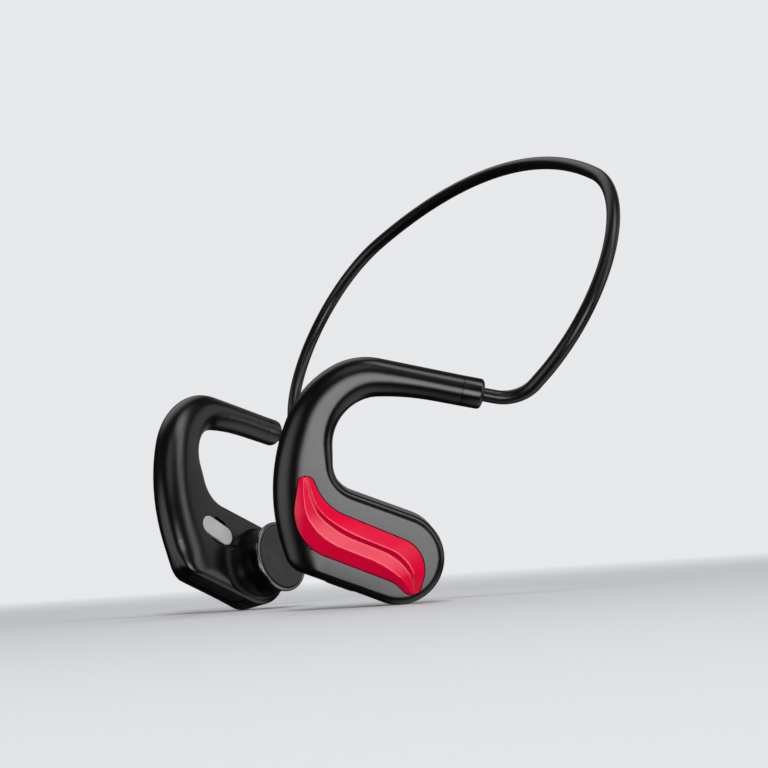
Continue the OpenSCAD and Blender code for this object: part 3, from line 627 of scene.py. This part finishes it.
def fade_gloss(mat, attribute, rough, spec):
    """Roughness and specular go from (satin, shiny) values by an attribute."""
    nt, b = principled(mat)
    at = nt.nodes.new("ShaderNodeAttribute")
    at.attribute_name = attribute
    for socket, values in (("Roughness", rough), ("Specular IOR Level", spec)):
        nt.links.new(remap(nt, at.outputs["Fac"], 0.0, 1.0, *values), b.inputs[socket])


fade_gloss(MAT["barrel"], "near_face", (0.36, 0.25), (0.06, 0.5))


def place(ob, mat, body, nodes, smooth_angle=32):
    """Finish a piece: material, shading, body, CAD nodes and colour slot."""
    if not ob.data.materials:
        ob.data.materials.append(MAT[mat])
    shade(ob, smooth_angle)
    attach(ob, body)
    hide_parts(*nodes)


# ---------------------------------------------------------------- frames
def under(s, side):
    """Frame on the pod's underside: x forward along the edge, z outward."""
    return (SIDES[side] @ Matrix.Translation((under_n[0] * POD_R, 0, under_n[1] * POD_R))
            @ rot(180 + POD_SLOPE, "Y") @ Matrix.Translation((s, 0, 0)))


def at_seam(side):
    """Frame at the hook seam: y along the tube towards the band."""
    return (SIDES[side] @ Matrix.Translation((SEAM[0], 0, SEAM[1]))
            @ rot(90 + TUBE_SLOPE, "Y") @ rot(90, "X"))


PORT = (-16.7, 10.0)
COVER_L, COVER_W, COVER_TILT, COVER_SEAT = 12.8, 5.8, 28.0, 5.1


def at_port(side):
    """Frame on the inner face: x along the cover, z inward to the head."""
    return (SIDES[side] @ Matrix.Translation((PORT[0], 0, PORT[1]))
            @ rot(COVER_TILT, "Y") @ rot(-90, "X"))


# ---------------------------------------------------------------- inlay
def rounded(a, b, c, r):
    """Arc that rounds the corner b of the lines a-b and b-c."""
    a, b, c = (np.array(v, float) for v in (a, b, c))
    u, v = (a - b) / np.linalg.norm(a - b), (c - b) / np.linalg.norm(c - b)
    half = math.acos(u @ v) / 2
    o = b + (u + v) / np.linalg.norm(u + v) * (r / math.sin(half))
    s, e = b + u * (r / math.tan(half)), b + v * (r / math.tan(half))
    a0 = math.degrees(math.atan2(*(s - o)[::-1]))
    d = math.degrees(math.atan2(*(e - o)[::-1])) - a0
    d = (d + 180) % 360 - 180
    return arc(o, r, a0, a0 + d, 40)


def bent(a, b, c, d, r1, r2):
    """Line from a to d with rounded bends at b and c."""
    return np.vstack([[a], rounded(a, b, c, r1), rounded(b, c, d, r2), [d]])


INLAY_N = 240
inlay_top = respace(bent([-23.6, 23.0], [-19.8, 14.6], [8.6, 2.4], [5.6, -9.2], 14, 9), INLAY_N)
inlay_low = respace(bent([-26.9, 23.0], [-29.6, 5.4], [-1.0, -6.2], [2.4, -9.7], 13, 8), INLAY_N)
END_ROUND = 1.3
for end in (0, -1):
    # round the two corners of each end by drawing the sides in
    gap = np.linalg.norm((inlay_top + inlay_low - inlay_top[end] - inlay_low[end]) / 2, axis=1)
    near = gap < END_ROUND
    pull = np.zeros(len(gap))
    pull[near] = END_ROUND - np.sqrt(END_ROUND ** 2 - (END_ROUND - gap[near]) ** 2)
    width = np.linalg.norm(inlay_low - inlay_top, axis=1)
    side = (inlay_low - inlay_top) / width[:, None] * pull[:, None]
    inlay_top, inlay_low = inlay_top + side, inlay_low - side
INLAY_SEAT, INLAY_GAP, INLAY_EDGE, INLAY_BEVEL = 5.3, 0.26, 0.12, 0.16
RIDGES, RIDGE_H, VALLEY_H, VALLEY_AT = (0.31, 0.69), 1.0, 0.62, 0.3
FULL_WIDTH, END_FADE, END_HEIGHT = 10.0, 0.07, 0.6


def inlay_outline(grow):
    """Closed outline of the inlay, grown on all sides."""
    loop = np.vstack([inlay_top, inlay_low[::-1]])
    e = np.roll(loop, -1, 0) - np.roll(loop, 1, 0)
    e /= np.linalg.norm(e, axis=1)[:, None]
    n = np.c_[e[:, 1], -e[:, 0]]
    x, z = loop.T
    turn = np.sum(x * np.roll(z, -1) - np.roll(x, -1) * z)
    return loop + n * (grow if turn > 0 else -grow)


def skin_height(x, z):
    """Height of the outer half's skin above the parting plane at a point."""
    p = np.array([x, z])
    i = int(np.argmin(((side_out - p) ** 2).sum(1)))
    reach = np.linalg.norm(border_out[-1][i] - side_out[i])
    d = min(np.linalg.norm(side_out[i] - p) / reach, 1.0)
    low = wall_out[i]
    return low + (half_at[i] - low) * math.sqrt(max(1 - (1 - d) ** 2, 0.0))


def inlay_profile():
    """Section across the inlay: two sloping shoulders, ridges, a valley."""
    t = np.linspace(0, 1, 201)
    h = RIDGE_H * np.clip(np.minimum(t / RIDGES[0], (1 - t) / (1 - RIDGES[1])), 0, 1)
    m = np.clip((t - RIDGES[0]) / (RIDGES[1] - RIDGES[0]), 0, 1)
    h -= VALLEY_H * np.where(m < VALLEY_AT, smooth(m / VALLEY_AT), (1 - m) / (1 - VALLEY_AT))
    return t, blur(h, 2.2)


PROFILE = inlay_profile()


def inlay_height(t, u, wide):
    """Height of the inlay above the skin, lower at both ends and where narrow."""
    fade = float(smooth(u / END_FADE) * smooth((1 - u) / END_FADE))
    scale = min(wide / FULL_WIDTH, 1.0) * (END_HEIGHT + (1 - END_HEIGHT) * fade)
    return INLAY_EDGE + float(np.interp(t, *PROFILE)) * scale


def build_inlay(side):
    """Raised inlay that follows the skin, with a bevelled edge and a flat seat."""
    across = np.linspace(0.0, 1.0, 57)
    grid = []
    for i in range(INLAY_N + 1):
        row = []
        wide = np.linalg.norm(inlay_low[i] - inlay_top[i])
        for t in across:
            p = inlay_top[i] + (inlay_low[i] - inlay_top[i]) * t
            top = max(skin_height(*p), POD_HALF - 0.4) + inlay_height(t, i / INLAY_N, wide)
            row.append((p[0], -top, p[1]))
        grid.append(row)
    w = len(across)
    verts = [p for row in grid for p in row]
    faces = [(i * w + j, i * w + j + 1, (i + 1) * w + j + 1, (i + 1) * w + j)
             for i in range(INLAY_N) for j in range(w - 1)]
    border = [i * w for i in range(INLAY_N + 1)] + [INLAY_N * w + j for j in range(1, w)]
    border += [i * w + w - 1 for i in range(INLAY_N - 1, -1, -1)] + list(range(w - 2, 0, -1))
    # wall from the edge of the top down to the seat
    base = len(verts)
    for k in border:
        x, y, z = verts[k]
        verts.append((x, -(INLAY_SEAT + 0.02), z))
    n = len(border)
    for q in range(n):
        r = (q + 1) % n
        faces.append((border[q], border[r], base + r, base + q))
    faces.append(tuple(base + q for q in range(n)))
    ob = new_object(side + "_inlay_trim", verts, faces, SIDES[side])
    bev = ob.modifiers.new("edge", "BEVEL")
    bev.width = INLAY_BEVEL * MM
    bev.segments = 3
    bev.limit_method = "ANGLE"
    bev.angle_limit = math.radians(50)
    dg = bpy.context.evaluated_depsgraph_get()
    me = bpy.data.meshes.new_from_object(ob.evaluated_get(dg))
    ob.modifiers.clear()
    ob.data = me
    place(ob, "inlay", side + "_side", [side + "_inlay"], 40)


def prism(name, pts, y0, y1, m):
    """Straight-walled body between two heights over an outline in x, z."""
    return plate(name, [[(p[0], y, p[1]) for p in pts] for y in (y0, y1)], m)


def stadium_prism(name, l, w, z0, z1, m):
    """Straight-walled slot body."""
    return plate(name, [[(x, y, z) for x, y in stadium(l, w)] for z in (z0, z1)], m)


def disc_prism(name, r, z0, z1, m):
    """Straight-walled round body."""
    ring = [polar(r, a) for a in np.linspace(0, 360, 48, endpoint=False)]
    return plate(name, [[(x, y, z) for x, y in ring] for z in (z0, z1)], m)


# ---------------------------------------------------------------- shells
ROCKER_AT, ROCKER_L, ROCKER_W, SIDE_GAP = 12.7, 22.4, 5.8, 0.25
ROCKER_OFF, BUTTON_GAP, EDGE_CUT = 0.9, 0.15, 2
BUTTON_AT, BUTTON_L, BUTTON_W, MIC_AT, MIC_R = 12.0, 9.0, 3.6, 20.5, 0.6
BARREL_HOLE, SKIN_LOW, SKIN_HIGH, CUT_OUT = 8.9, 3, 8, 9
COVER_GAP, SOCKET_L, SOCKET_W, NOTCH_L, NOTCH_W = 0.18, 9.0, 3.3, 5.0, 1.9


def cut_slot(ob, length, width, z0, z1, m, painted_shade=None):
    """Cut a slot with round ends between two heights of a frame."""
    cut(ob, stadium_prism("cutter", length, width, z0, z1, m), painted_shade)


def cut_edge(ob, side):
    """Openings in the underside: key and microphone, or the volume bar."""
    if side == "left":
        cut_slot(ob, BUTTON_L + 2 * BUTTON_GAP, BUTTON_W + 2 * BUTTON_GAP, -EDGE_CUT, EDGE_CUT,
                 under(BUTTON_AT, side))
        cut(ob, disc_prism("cutter", MIC_R, -EDGE_CUT, EDGE_CUT, under(MIC_AT, side)))
    else:
        cut_slot(ob, ROCKER_L + 2 * SIDE_GAP, ROCKER_W + 2 * SIDE_GAP, -EDGE_CUT, EDGE_CUT,
                 under(ROCKER_AT, side) @ Matrix.Translation((0, ROCKER_OFF, 0)))


def cut_port(ob, side):
    """Seat of the charging cover, its socket opening and the two finger notches."""
    port = at_port(side)
    # the cover's seat and the finger notches get painted shade on their cut faces
    cut_slot(ob, COVER_L + 2 * COVER_GAP, COVER_W + 2 * COVER_GAP, COVER_SEAT, SKIN_HIGH, port,
             "painted_shade")
    cut_slot(ob, SOCKET_L, SOCKET_W, SKIN_LOW, 7, port)
    for s in (-1, 1):
        notch = port @ Matrix.Translation((0, s * (COVER_W / 2 + 0.05), 0))
        cut_slot(ob, NOTCH_L, NOTCH_W, COVER_SEAT, SKIN_HIGH, notch, "painted_shade")


for side in ("left", "right"):
    shell = half_shell(side + "_shell_outside", SIDES[side], -1)
    shell.data.materials.append(MAT["shell"])
    recess = prism("cutter", inlay_outline(INLAY_GAP), -INLAY_SEAT, -CUT_OUT, SIDES[side])
    # the inlay's recess gets painted shade, a dark line round the inlay
    cut(shell, recess, "painted_shade")
    cut_edge(shell, side)
    place(shell, "shell", side + "_side", [side + "_outer_shell"], 28)
    shell = half_shell(side + "_shell_inside", SIDES[side], 1)
    shell.data.materials.append(MAT["shell"])
    hole = [(0, SKIN_LOW), (BARREL_HOLE, SKIN_LOW), (BARREL_HOLE, SKIN_HIGH), (0, SKIN_HIGH)]
    cut(shell, lathe("cutter", hole, SIDES[side], closed=False))
    cut_edge(shell, side)
    if side == "right":
        cut_port(shell, side)
    place(shell, "shell", side + "_side", [side + "_inner_shell"], 28)
    build_inlay(side)


# ---------------------------------------------------------------- turned parts
BARREL_R, NECK_R, SPIGOT_R, RIM_Y = 10.7, 10.1, 8.85, 14.4
SEAT_R, SEAT_Y, CUP_R, CUP_Y, LEAD_R, BARREL_FOOT = 9.6, 12.9, 8.3, 6.6, 1.2, 4.6
PAD_R, PAD_H, PAD_Y, POST_R, BORE_R = 9.75, 1.3, 14.75, 6.2, 5.3
CAP_L, BAND_R, CAP_BORE, PLUG_R, PLUG_L, GRIP_SEAT = 6.08, 1.9, 1.2, 2.6, 3, 2.5
RING_IN, RING_OUT, RING_H = PAD_R + 0.18, BARREL_R + 0.1, 1.1
FOOT_TURN, FOOT_SPAN, FOOT_EASE, FOOT_FADE, FOOT_LEAD = 150, 112, 12, 70, 35
FOOT_MIN, FOOT_WIDE, FOOT_NEAR, FOOT_TALL, FOOT_RISE = 0.8, 4.9, 1.5, 1.4, 0.95


def fillet(deg):
    """Reach and height of the barrel's foot in a direction of the face."""
    a = (deg - FOOT_TURN) % 360
    lead = 360 - FOOT_LEAD
    up = float(smooth(a / FOOT_EASE) * smooth((FOOT_SPAN - a) / FOOT_FADE))
    near = float(smooth((a - lead) / FOOT_LEAD)) if a > lead else float(a < FOOT_EASE)
    reach = FOOT_MIN + FOOT_WIDE * up + FOOT_NEAR * near * (1 - up)
    return reach, FOOT_TALL + FOOT_RISE * (reach - FOOT_MIN)


def speaker_barrel(side):
    """Hollow barrel whose foot blends into the face, widest to the front."""
    segments, steps = 180, 14
    neck = [(NECK_R + 0.1, RIM_Y - 2.2), (NECK_R + 0.35, RIM_Y - 1.2),
            (BARREL_R - 0.05, RIM_Y - 0.5), (BARREL_R, RIM_Y)]
    inner = [(SEAT_R, RIM_Y), (SEAT_R, SEAT_Y), (CUP_R, SEAT_Y), (CUP_R, CUP_Y),
             (LEAD_R, CUP_Y), (LEAD_R, BARREL_FOOT)]
    # gloss by profile point: full where the foot meets the face, a little at the rim
    gloss = [1.0] * 3 + [(1 - k / steps) ** 8 for k in range(steps + 1)]
    gloss += [0.2, 0.35, 0.4, 0.4] + [0.0] * len(inner)
    verts, faces, rows = [], [], len(gloss)
    for j in range(segments):
        a = 2 * math.pi * j / segments
        reach, tall = fillet(math.degrees(a))
        foot = NECK_R + 0.1 + reach
        prof = [(SPIGOT_R, BARREL_FOOT), (SPIGOT_R, POD_HALF - 0.3), (foot, POD_HALF - 0.3)]
        for k in range(steps + 1):
            b = math.pi / 2 * k / steps
            prof.append((foot - (foot - NECK_R) * math.sin(b), POD_HALF + tall * (1 - math.cos(b))))
        verts += [(r * math.cos(a), y, r * math.sin(a)) for r, y in prof + neck + inner]
    for j in range(segments):
        q = (j + 1) % segments
        for i in range(rows):
            h = (i + 1) % rows
            faces.append((j * rows + i, j * rows + h, q * rows + h, q * rows + i))
    ob = new_object(side + "_speaker_barrel", verts, faces, SIDES[side])
    near_face = ob.data.attributes.new("near_face", "FLOAT", "POINT")
    near_face.data.foreach_set("value", gloss * segments)
    return ob


def hook_cap(side):
    """Cap at the end of the hook, with its seam groove and soft end."""
    bore = BAND_R + 0.04
    profile = rounded_profile(
        [(CAP_BORE, -PLUG_L), (PLUG_R, -PLUG_L), (PLUG_R, 0.0), (TUBE_R - 0.22, 0.0),
         (TUBE_R - 0.02, 0.16), (TUBE_R, 0.4), (TUBE_R, CAP_L), (bore, CAP_L),
         (bore, GRIP_SEAT), (CAP_BORE, GRIP_SEAT)], [0, 0, 0, 0, 0, 0, 1.1, 0.25, 0, 0], 8)
    return lathe(side + "_hook_cap", profile, at_seam(side))


def speaker_ring(side):
    """Bright ring round the barrel's mouth."""
    profile = rounded_profile(
        [(RING_IN, RIM_Y), (RING_OUT, RIM_Y), (RING_OUT, RIM_Y + RING_H),
         (RING_IN, RIM_Y + RING_H), (RING_IN, RIM_Y)], [0, 0.12, 0.42, 0.15, 0], 6)
    return lathe(side + "_speaker_ring", profile[:-1], SIDES[side], 128)


def contact_pad(side):
    """Soft pad with a low raised lip and the post that joins the voice coil."""
    top, foot = PAD_Y + PAD_H, 13.8
    profile = rounded_profile(
        [(0, top - 0.10), (7.3, top - 0.06), (7.9, top - 0.02), (8.3, top),
         (8.7, top - 0.02), (PAD_R, top - 0.04), (PAD_R, PAD_Y), (POST_R, PAD_Y),
         (POST_R, foot), (BORE_R, foot), (BORE_R, PAD_Y), (0, PAD_Y)],
        [0, 0.5, 0.3, 0.3, 0.3, 0.42, 0.12, 0.1, 0, 0, 0.1, 0], 7)
    return lathe(side + "_contact_pad", profile, SIDES[side], 128, closed=False)


for side in ("left", "right"):
    body = side + "_side"
    place(hook_cap(side), "cap", body, [side + "_cap"])
    place(speaker_barrel(side), "barrel", body, [side + "_barrel"], 40)
    place(speaker_ring(side), "rim", body, [side + "_rim_ring"])
    place(contact_pad(side), "pad", side + "_vibrator", [side + "_skin_pad"])

# ---------------------------------------------------------------- keys, cover
KEY_TOP, KEY_FOOT, SKIRT_TOP, SKIRT_FOOT, SKIRT_LIP = 0.42, -1.6, -1.65, -2.3, 1.2
BAR_TOP, BAR_FOOT, HUB_R, PIN_R, HUB_HALF, HUB_DROP = -0.34, -1.7, 1.4, 0.65, 1.7, 2.4
LID_TOP, STEM_L, STEM_W, STEM_H = 6.1, 8.1, 2.3, 3

key_at = under(BUTTON_AT, "left")
key = stadium_plate("power_key_cap", BUTTON_L, BUTTON_W, KEY_FOOT, KEY_TOP, 0.45, key_at,
                    crown=0.08)
skirt = stadium_plate("skirt", BUTTON_L + SKIRT_LIP, BUTTON_W + SKIRT_LIP, SKIRT_FOOT,
                      SKIRT_TOP, 0.1, key_at)
place(join("power_key_cap", [key, skirt]), "key", "power_key", ["power_button"])

bar_at = under(ROCKER_AT, "right")
bar = stadium_plate("bar", ROCKER_L, ROCKER_W, BAR_FOOT, BAR_TOP, 0.4,
                    bar_at @ Matrix.Translation((0, ROCKER_OFF, 0)), crown=0.14)
hub = lathe("hub", [(PIN_R, -HUB_HALF), (HUB_R, -HUB_HALF), (HUB_R, HUB_HALF), (PIN_R, HUB_HALF)],
            bar_at @ Matrix.Translation((0, 0, -HUB_DROP)), 48)
place(join("volume_bar", [bar, hub]), "key", "volume_key", ["volume_rocker"])

lid = stadium_plate("lid", COVER_L, COVER_W, COVER_SEAT + 0.02, LID_TOP, 0.32,
                    at_port("right"), crown=0.05)
stem = stadium_plate("stem", STEM_L, STEM_W, COVER_SEAT - STEM_H, COVER_SEAT + 0.1, 0.2,
                     at_port("right"))
place(join("charging_cover", [lid, stem]), "cover", "port_plug", ["port_cover"])


# ---------------------------------------------------------------- neckband
BAND_SLOPE, BAND_LEAD, BEND_R, FLARE = 62.8, 10.6, 10.5, 46.0
BAND_RUN, SIDE_R, REAR, GRIP = 10.2, 40.0, 66.0, 3.5


def vec(v):
    """Vector as an array of floats."""
    return np.array(v, float)


ta = math.radians(TUBE_SLOPE)
tube_axis = (math.cos(ta), 0, -math.sin(ta))
lead_dir = vec(LEFT.to_3x3() @ Vector(tube_axis))
cap_end = vec(LEFT @ Vector((SEAM[0] + tube_axis[0] * CAP_L, 0, SEAM[1] + tube_axis[2] * CAP_L)))
bs = math.radians(BAND_SLOPE)
plane_up, plane_out = vec((math.cos(bs), 0, math.sin(bs))), vec((0, -1, 0))


def heading(h):
    """Direction in the band's plane, turned outward from straight back."""
    return plane_up * math.cos(math.radians(h)) + plane_out * math.sin(math.radians(h))


run_dir = heading(FLARE)
knee = cap_end + lead_dir * BAND_LEAD
bend_a = math.acos(float(lead_dir @ run_dir))
bend_nrm = run_dir - lead_dir * float(lead_dir @ run_dir)
bend_nrm /= np.linalg.norm(bend_nrm)
bend_start = knee - lead_dir * BEND_R * math.tan(bend_a / 2)
side_start = knee + run_dir * BAND_RUN
cf, sf = math.cos(math.radians(FLARE)), math.sin(math.radians(FLARE))
cr, sr = math.cos(math.radians(REAR)), math.sin(math.radians(REAR))
side_end = side_start + plane_out * SIDE_R * (cr - cf) + plane_up * SIDE_R * (sr + sf)
rear_r = -side_end[1] / cr


def straight(a, b, n):
    """Points from a up to, but not including, b."""
    return [a + (b - a) * t for t in np.linspace(0, 1, n, endpoint=False)]


def on_bend(a):
    """Point on the bend behind the cap, turned by an angle."""
    return bend_start + (bend_nrm * (1 - math.cos(a)) + lead_dir * math.sin(a)) * BEND_R


def swing(p, r, h0, h1, n, end):
    """Arc in the band's plane from p, from one heading to another."""
    c0, s0 = math.cos(math.radians(h0)), math.sin(math.radians(h0))
    return [p + (plane_out * (c - c0) + plane_up * (s0 - s)) * r
            for c, s in ((math.cos(h), math.sin(h))
                         for h in np.radians(np.linspace(h0, h1, n, endpoint=end)))]


def half_band():
    """Centreline of the left half: grip, bend, run, side curve, rear curve."""
    pts = straight(cap_end - lead_dir * GRIP, bend_start, 12)
    pts += [on_bend(a) for a in np.linspace(0, bend_a, 16, endpoint=False)]
    pts += straight(on_bend(bend_a), side_start, 8)
    pts += swing(side_start, SIDE_R, FLARE, -REAR, 60, False)
    pts += swing(side_end, rear_r, -REAR, -90, 40, True)
    return np.array(pts)


left_half = half_band()
band_path = np.vstack([left_half, (left_half * [1, -1, 1])[::-1][1:]])


def sweep(name, path, radius, sides, bore=0.0, end_round=0.0):
    """Round tube along a path, with rounded ends and an optional bore."""
    path = np.array(path)
    tan = np.gradient(path, axis=0)
    tan /= np.linalg.norm(tan, axis=1)[:, None]
    ref = np.cross(plane_out, plane_up)
    verts, faces = [], []
    rings = []

    def add(i, r, shift=0.0):
        t = tan[i]
        x = ref - t * float(ref @ t)
        x /= np.linalg.norm(x)
        y = np.cross(t, x)
        base = len(verts)
        for k in range(sides):
            a = 2 * math.pi * k / sides
            verts.append(tuple((path[i] + t * shift + (x * math.cos(a) + y * math.sin(a)) * r) * MM))
        rings.append(base)

    last = len(path) - 1
    for a in np.linspace(0, math.pi / 2, 5)[:-1] if end_round else []:
        add(0, radius - end_round * (1 - math.sin(a)), -end_round * math.cos(a) + end_round)
    for i in range(last + 1):
        if end_round and i in (0, last):
            continue
        add(i, radius)
    for a in np.linspace(math.pi / 2, 0, 5)[1:] if end_round else []:
        add(last, radius - end_round * (1 - math.sin(a)), end_round * math.cos(a) - end_round)
    outer = list(rings)
    rings.clear()
    if bore:
        for i in range(last, -1, -1):
            add(i, bore)
        loop = outer + rings + outer[:1]
    else:
        loop = outer
    for a, b in zip(loop, loop[1:]):
        for k in range(sides):
            q = (k + 1) % sides
            faces.append((a + k, a + q, b + q, b + k))
    if not bore:
        faces.append(tuple(loop[0] + k for k in range(sides)))
        faces.append(tuple(loop[-1] + k for k in range(sides)))
    return new_object(name, verts, faces)


def band_piece(ob, mat, nodes):
    """A piece that runs through the whole band, curving from one side to the other."""
    ob.data.materials.append(MAT[mat])
    shade(ob, 50)
    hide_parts(*nodes)
    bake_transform(ob)


SLEEVE_BORE, SLEEVE_END, HARNESS_R, HARNESS_BORE, WIRE_R = 1.15, 0.25, 1.05, 0.7, 0.6
path = respace(band_path, 420)
band_piece(sweep("neckband_sleeve", path, BAND_R, 40, SLEEVE_BORE, SLEEVE_END), "sleeve",
           ["left_band_sleeve", "right_band_sleeve"])
band_piece(sweep("neckband_harness", path, HARNESS_R, 20, HARNESS_BORE), "harness",
           ["left_harness", "right_harness"])
band_piece(sweep("neckband_wire", path, WIRE_R, 16), "wire",
           ["left_memory_wire", "right_memory_wire"])

# ---------------------------------------------------------------- carried CAD nodes
# inner parts keep their CAD shape and take a finish
KEPT = {"voice_coil": "coil", "suspension": "spring", "magnet": "magnet", "yoke": "iron",
        "pole_plate": "iron", "bracket": "bracket", "bracket_screws": "screws",
        "barrel_gasket": "gasket", "battery": "battery", "charge_board": "board",
        "power_switch": "switch", "microphone": "mic", "microphone_mesh": "mesh",
        "main_board": "board", "radio_chip": "chip", "charging_socket": "socket",
        "rocker_pin": "screws", "volume_switches": "switch"}
for node, mat in KEPT.items():
    names = [node] if node in frame["nodes"] else ["left_" + node, "right_" + node]
    for name in names:
        for s in bpy.data.objects[name].material_slots:
            s.material = MAT[mat]


# ---------------------------------------------------------------- studio
BACKDROP, AMBIENT = (0.80, 0.81, 0.83), 0.02
PAPER = (0.50, 0.51, 0.53), (0.55, 0.56, 0.58)
FLOOR_R, FADE_FROM, FADE_TO = 6.0, 0.25, 1.3


def floor():
    """Pale paper floor that fades into the backdrop."""
    me = bpy.data.meshes.new("floor")
    bm = bmesh.new()
    bmesh.ops.create_circle(bm, cap_ends=True, segments=96, radius=FLOOR_R)
    bm.to_mesh(me)
    bm.free()
    ob = bpy.data.objects.new("floor", me)
    bpy.context.scene.collection.objects.link(ob)
    mat = bpy.data.materials.new("floor_paper")
    mat.use_nodes = True
    nt, b = principled(mat)
    n, l = nt.nodes, nt.links
    b.inputs["Roughness"].default_value = 0.7
    point = n.new("ShaderNodeTexCoord").outputs["Object"]
    paper = two_tone(nt, noise(nt, point, 900, 2), 0.0, 1.0, *PAPER)
    l.new(paper, b.inputs["Base Color"])
    length = n.new("ShaderNodeVectorMath")
    length.operation = "LENGTH"
    l.new(point, length.inputs[0])
    far = remap(nt, length.outputs["Value"], FADE_FROM, FADE_TO, ease="SMOOTHSTEP")
    em = n.new("ShaderNodeEmission")
    em.inputs["Color"].default_value = (*BACKDROP, 1)
    mix = n.new("ShaderNodeMixShader")
    l.new(far, mix.inputs["Fac"])
    l.new(b.outputs["BSDF"], mix.inputs[1])
    l.new(em.outputs["Emission"], mix.inputs[2])
    l.new(mix.outputs["Shader"], n["Material Output"].inputs["Surface"])
    ob.data.materials.append(mat)
    ob.visible_glossy = False
    ob.visible_diffuse = False


floor()

# soft boxes of the studio, seen only in reflections and as light:
# heading from the front (+ to the rear), height, full and fade-out half
# angles in degrees, strength
SOFT_BOXES = [
    (-16, -11, 3, 21, 6.0),
    (-24, 40, 4, 24, 0.8),
    (35, 10, 3, 16, 2.0),
    (36, 28, 3, 16, 1.9),
    (35, 46, 3, 17, 2.3),
    (30, 63, 3, 18, 2.6),
    (-92, -6, 10, 34, 1.3),
    (56, -6, 5, 18, 1.6),
    (82, 17, 8, 20, 0.64),
    (60, -62, 12, 44, 0.8),
    (178, 52, 10, 34, 0.9),
    (125, 10, 8, 34, 0.35),
]


def world():
    """Soft boxes for light and reflections, a plain backdrop for the camera."""
    w = bpy.data.worlds.new("studio")
    bpy.context.scene.world = w
    w.use_nodes = True
    nt = w.node_tree
    n, l = nt.nodes, nt.links
    n.clear()
    co = n.new("ShaderNodeTexCoord")
    total = AMBIENT
    for az, el, a0, a1, power in SOFT_BOXES:
        az, el = math.radians(az), math.radians(el)
        d = (math.sin(az) * math.cos(el), -math.cos(az) * math.cos(el), math.sin(el))
        dot = n.new("ShaderNodeVectorMath")
        dot.operation = "DOT_PRODUCT"
        l.new(co.outputs["Generated"], dot.inputs[0])
        dot.inputs[1].default_value = Vector(d).normalized()
        lobe = remap(nt, dot.outputs["Value"], math.cos(math.radians(a1)),
                     math.cos(math.radians(a0)), to_high=power, ease="SMOOTHSTEP")
        total = sum_of(nt, total, lobe)
    soft = n.new("ShaderNodeBackground")
    soft.inputs["Color"].default_value = (1, 1, 1, 1)
    l.new(total, soft.inputs["Strength"])
    flat = n.new("ShaderNodeBackground")
    flat.inputs["Color"].default_value = (*BACKDROP, 1)
    ray = n.new("ShaderNodeLightPath")
    mix = n.new("ShaderNodeMixShader")
    l.new(ray.outputs["Is Camera Ray"], mix.inputs["Fac"])
    l.new(soft.outputs["Background"], mix.inputs[1])
    l.new(flat.outputs["Background"], mix.inputs[2])
    out = n.new("ShaderNodeOutputWorld")
    l.new(mix.outputs["Shader"], out.inputs["Surface"])


world()


def area(name, loc, target, size, power):
    """Round soft light that lights the floor and the part but isn't mirrored."""
    lt = bpy.data.lights.new(name, "AREA")
    lt.shape = "DISK"
    lt.size = size
    lt.energy = power
    ob = bpy.data.objects.new(name, lt)
    ob.location = loc
    ob.rotation_mode = "QUATERNION"
    ob.rotation_quaternion = (Vector(target) - Vector(loc)).to_track_quat("-Z", "Y")
    ob.visible_camera = False
    ob.visible_glossy = False
    bpy.context.scene.collection.objects.link(ob)


area("key", (-0.42, -0.72, 0.80), (0, 0, 0.04), 0.35, 9.0)
area("fill", (0.45, 0.7, 0.7), (0, 0, 0.04), 0.7, 3.5)

# ---------------------------------------------------------------- camera
CAM_TARGET = Vector((0.006564, 0.0, 0.064741))
CAM_AZ, CAM_EL, CAM_ROLL, CAM_DIST, CAM_LENS = -28.827, -4.48, -3.824, 0.6839, 107.37


def camera():
    """Camera at the photo's angle, with its slight roll."""
    data = bpy.data.cameras.new("camera")
    data.lens = CAM_LENS
    data.sensor_width = 36.0
    data.clip_start = 0.01
    ob = bpy.data.objects.new("camera", data)
    a, e = math.radians(CAM_AZ), math.radians(CAM_EL)
    back = Vector((math.sin(a) * math.cos(e), -math.cos(a) * math.cos(e), math.sin(e)))
    right = (-back).cross(Vector((0, 0, 1))).normalized()
    up = right.cross(-back)
    c, s = math.cos(math.radians(CAM_ROLL)), math.sin(math.radians(CAM_ROLL))
    x = right * c + up * s
    y = up * c - right * s
    m = Matrix((x, y, back)).transposed().to_4x4()
    m.translation = CAM_TARGET + back * CAM_DIST
    ob.matrix_world = m
    bpy.context.scene.collection.objects.link(ob)
    bpy.context.scene.camera = ob


camera()
bpy.context.scene.view_settings.view_transform = "Standard"
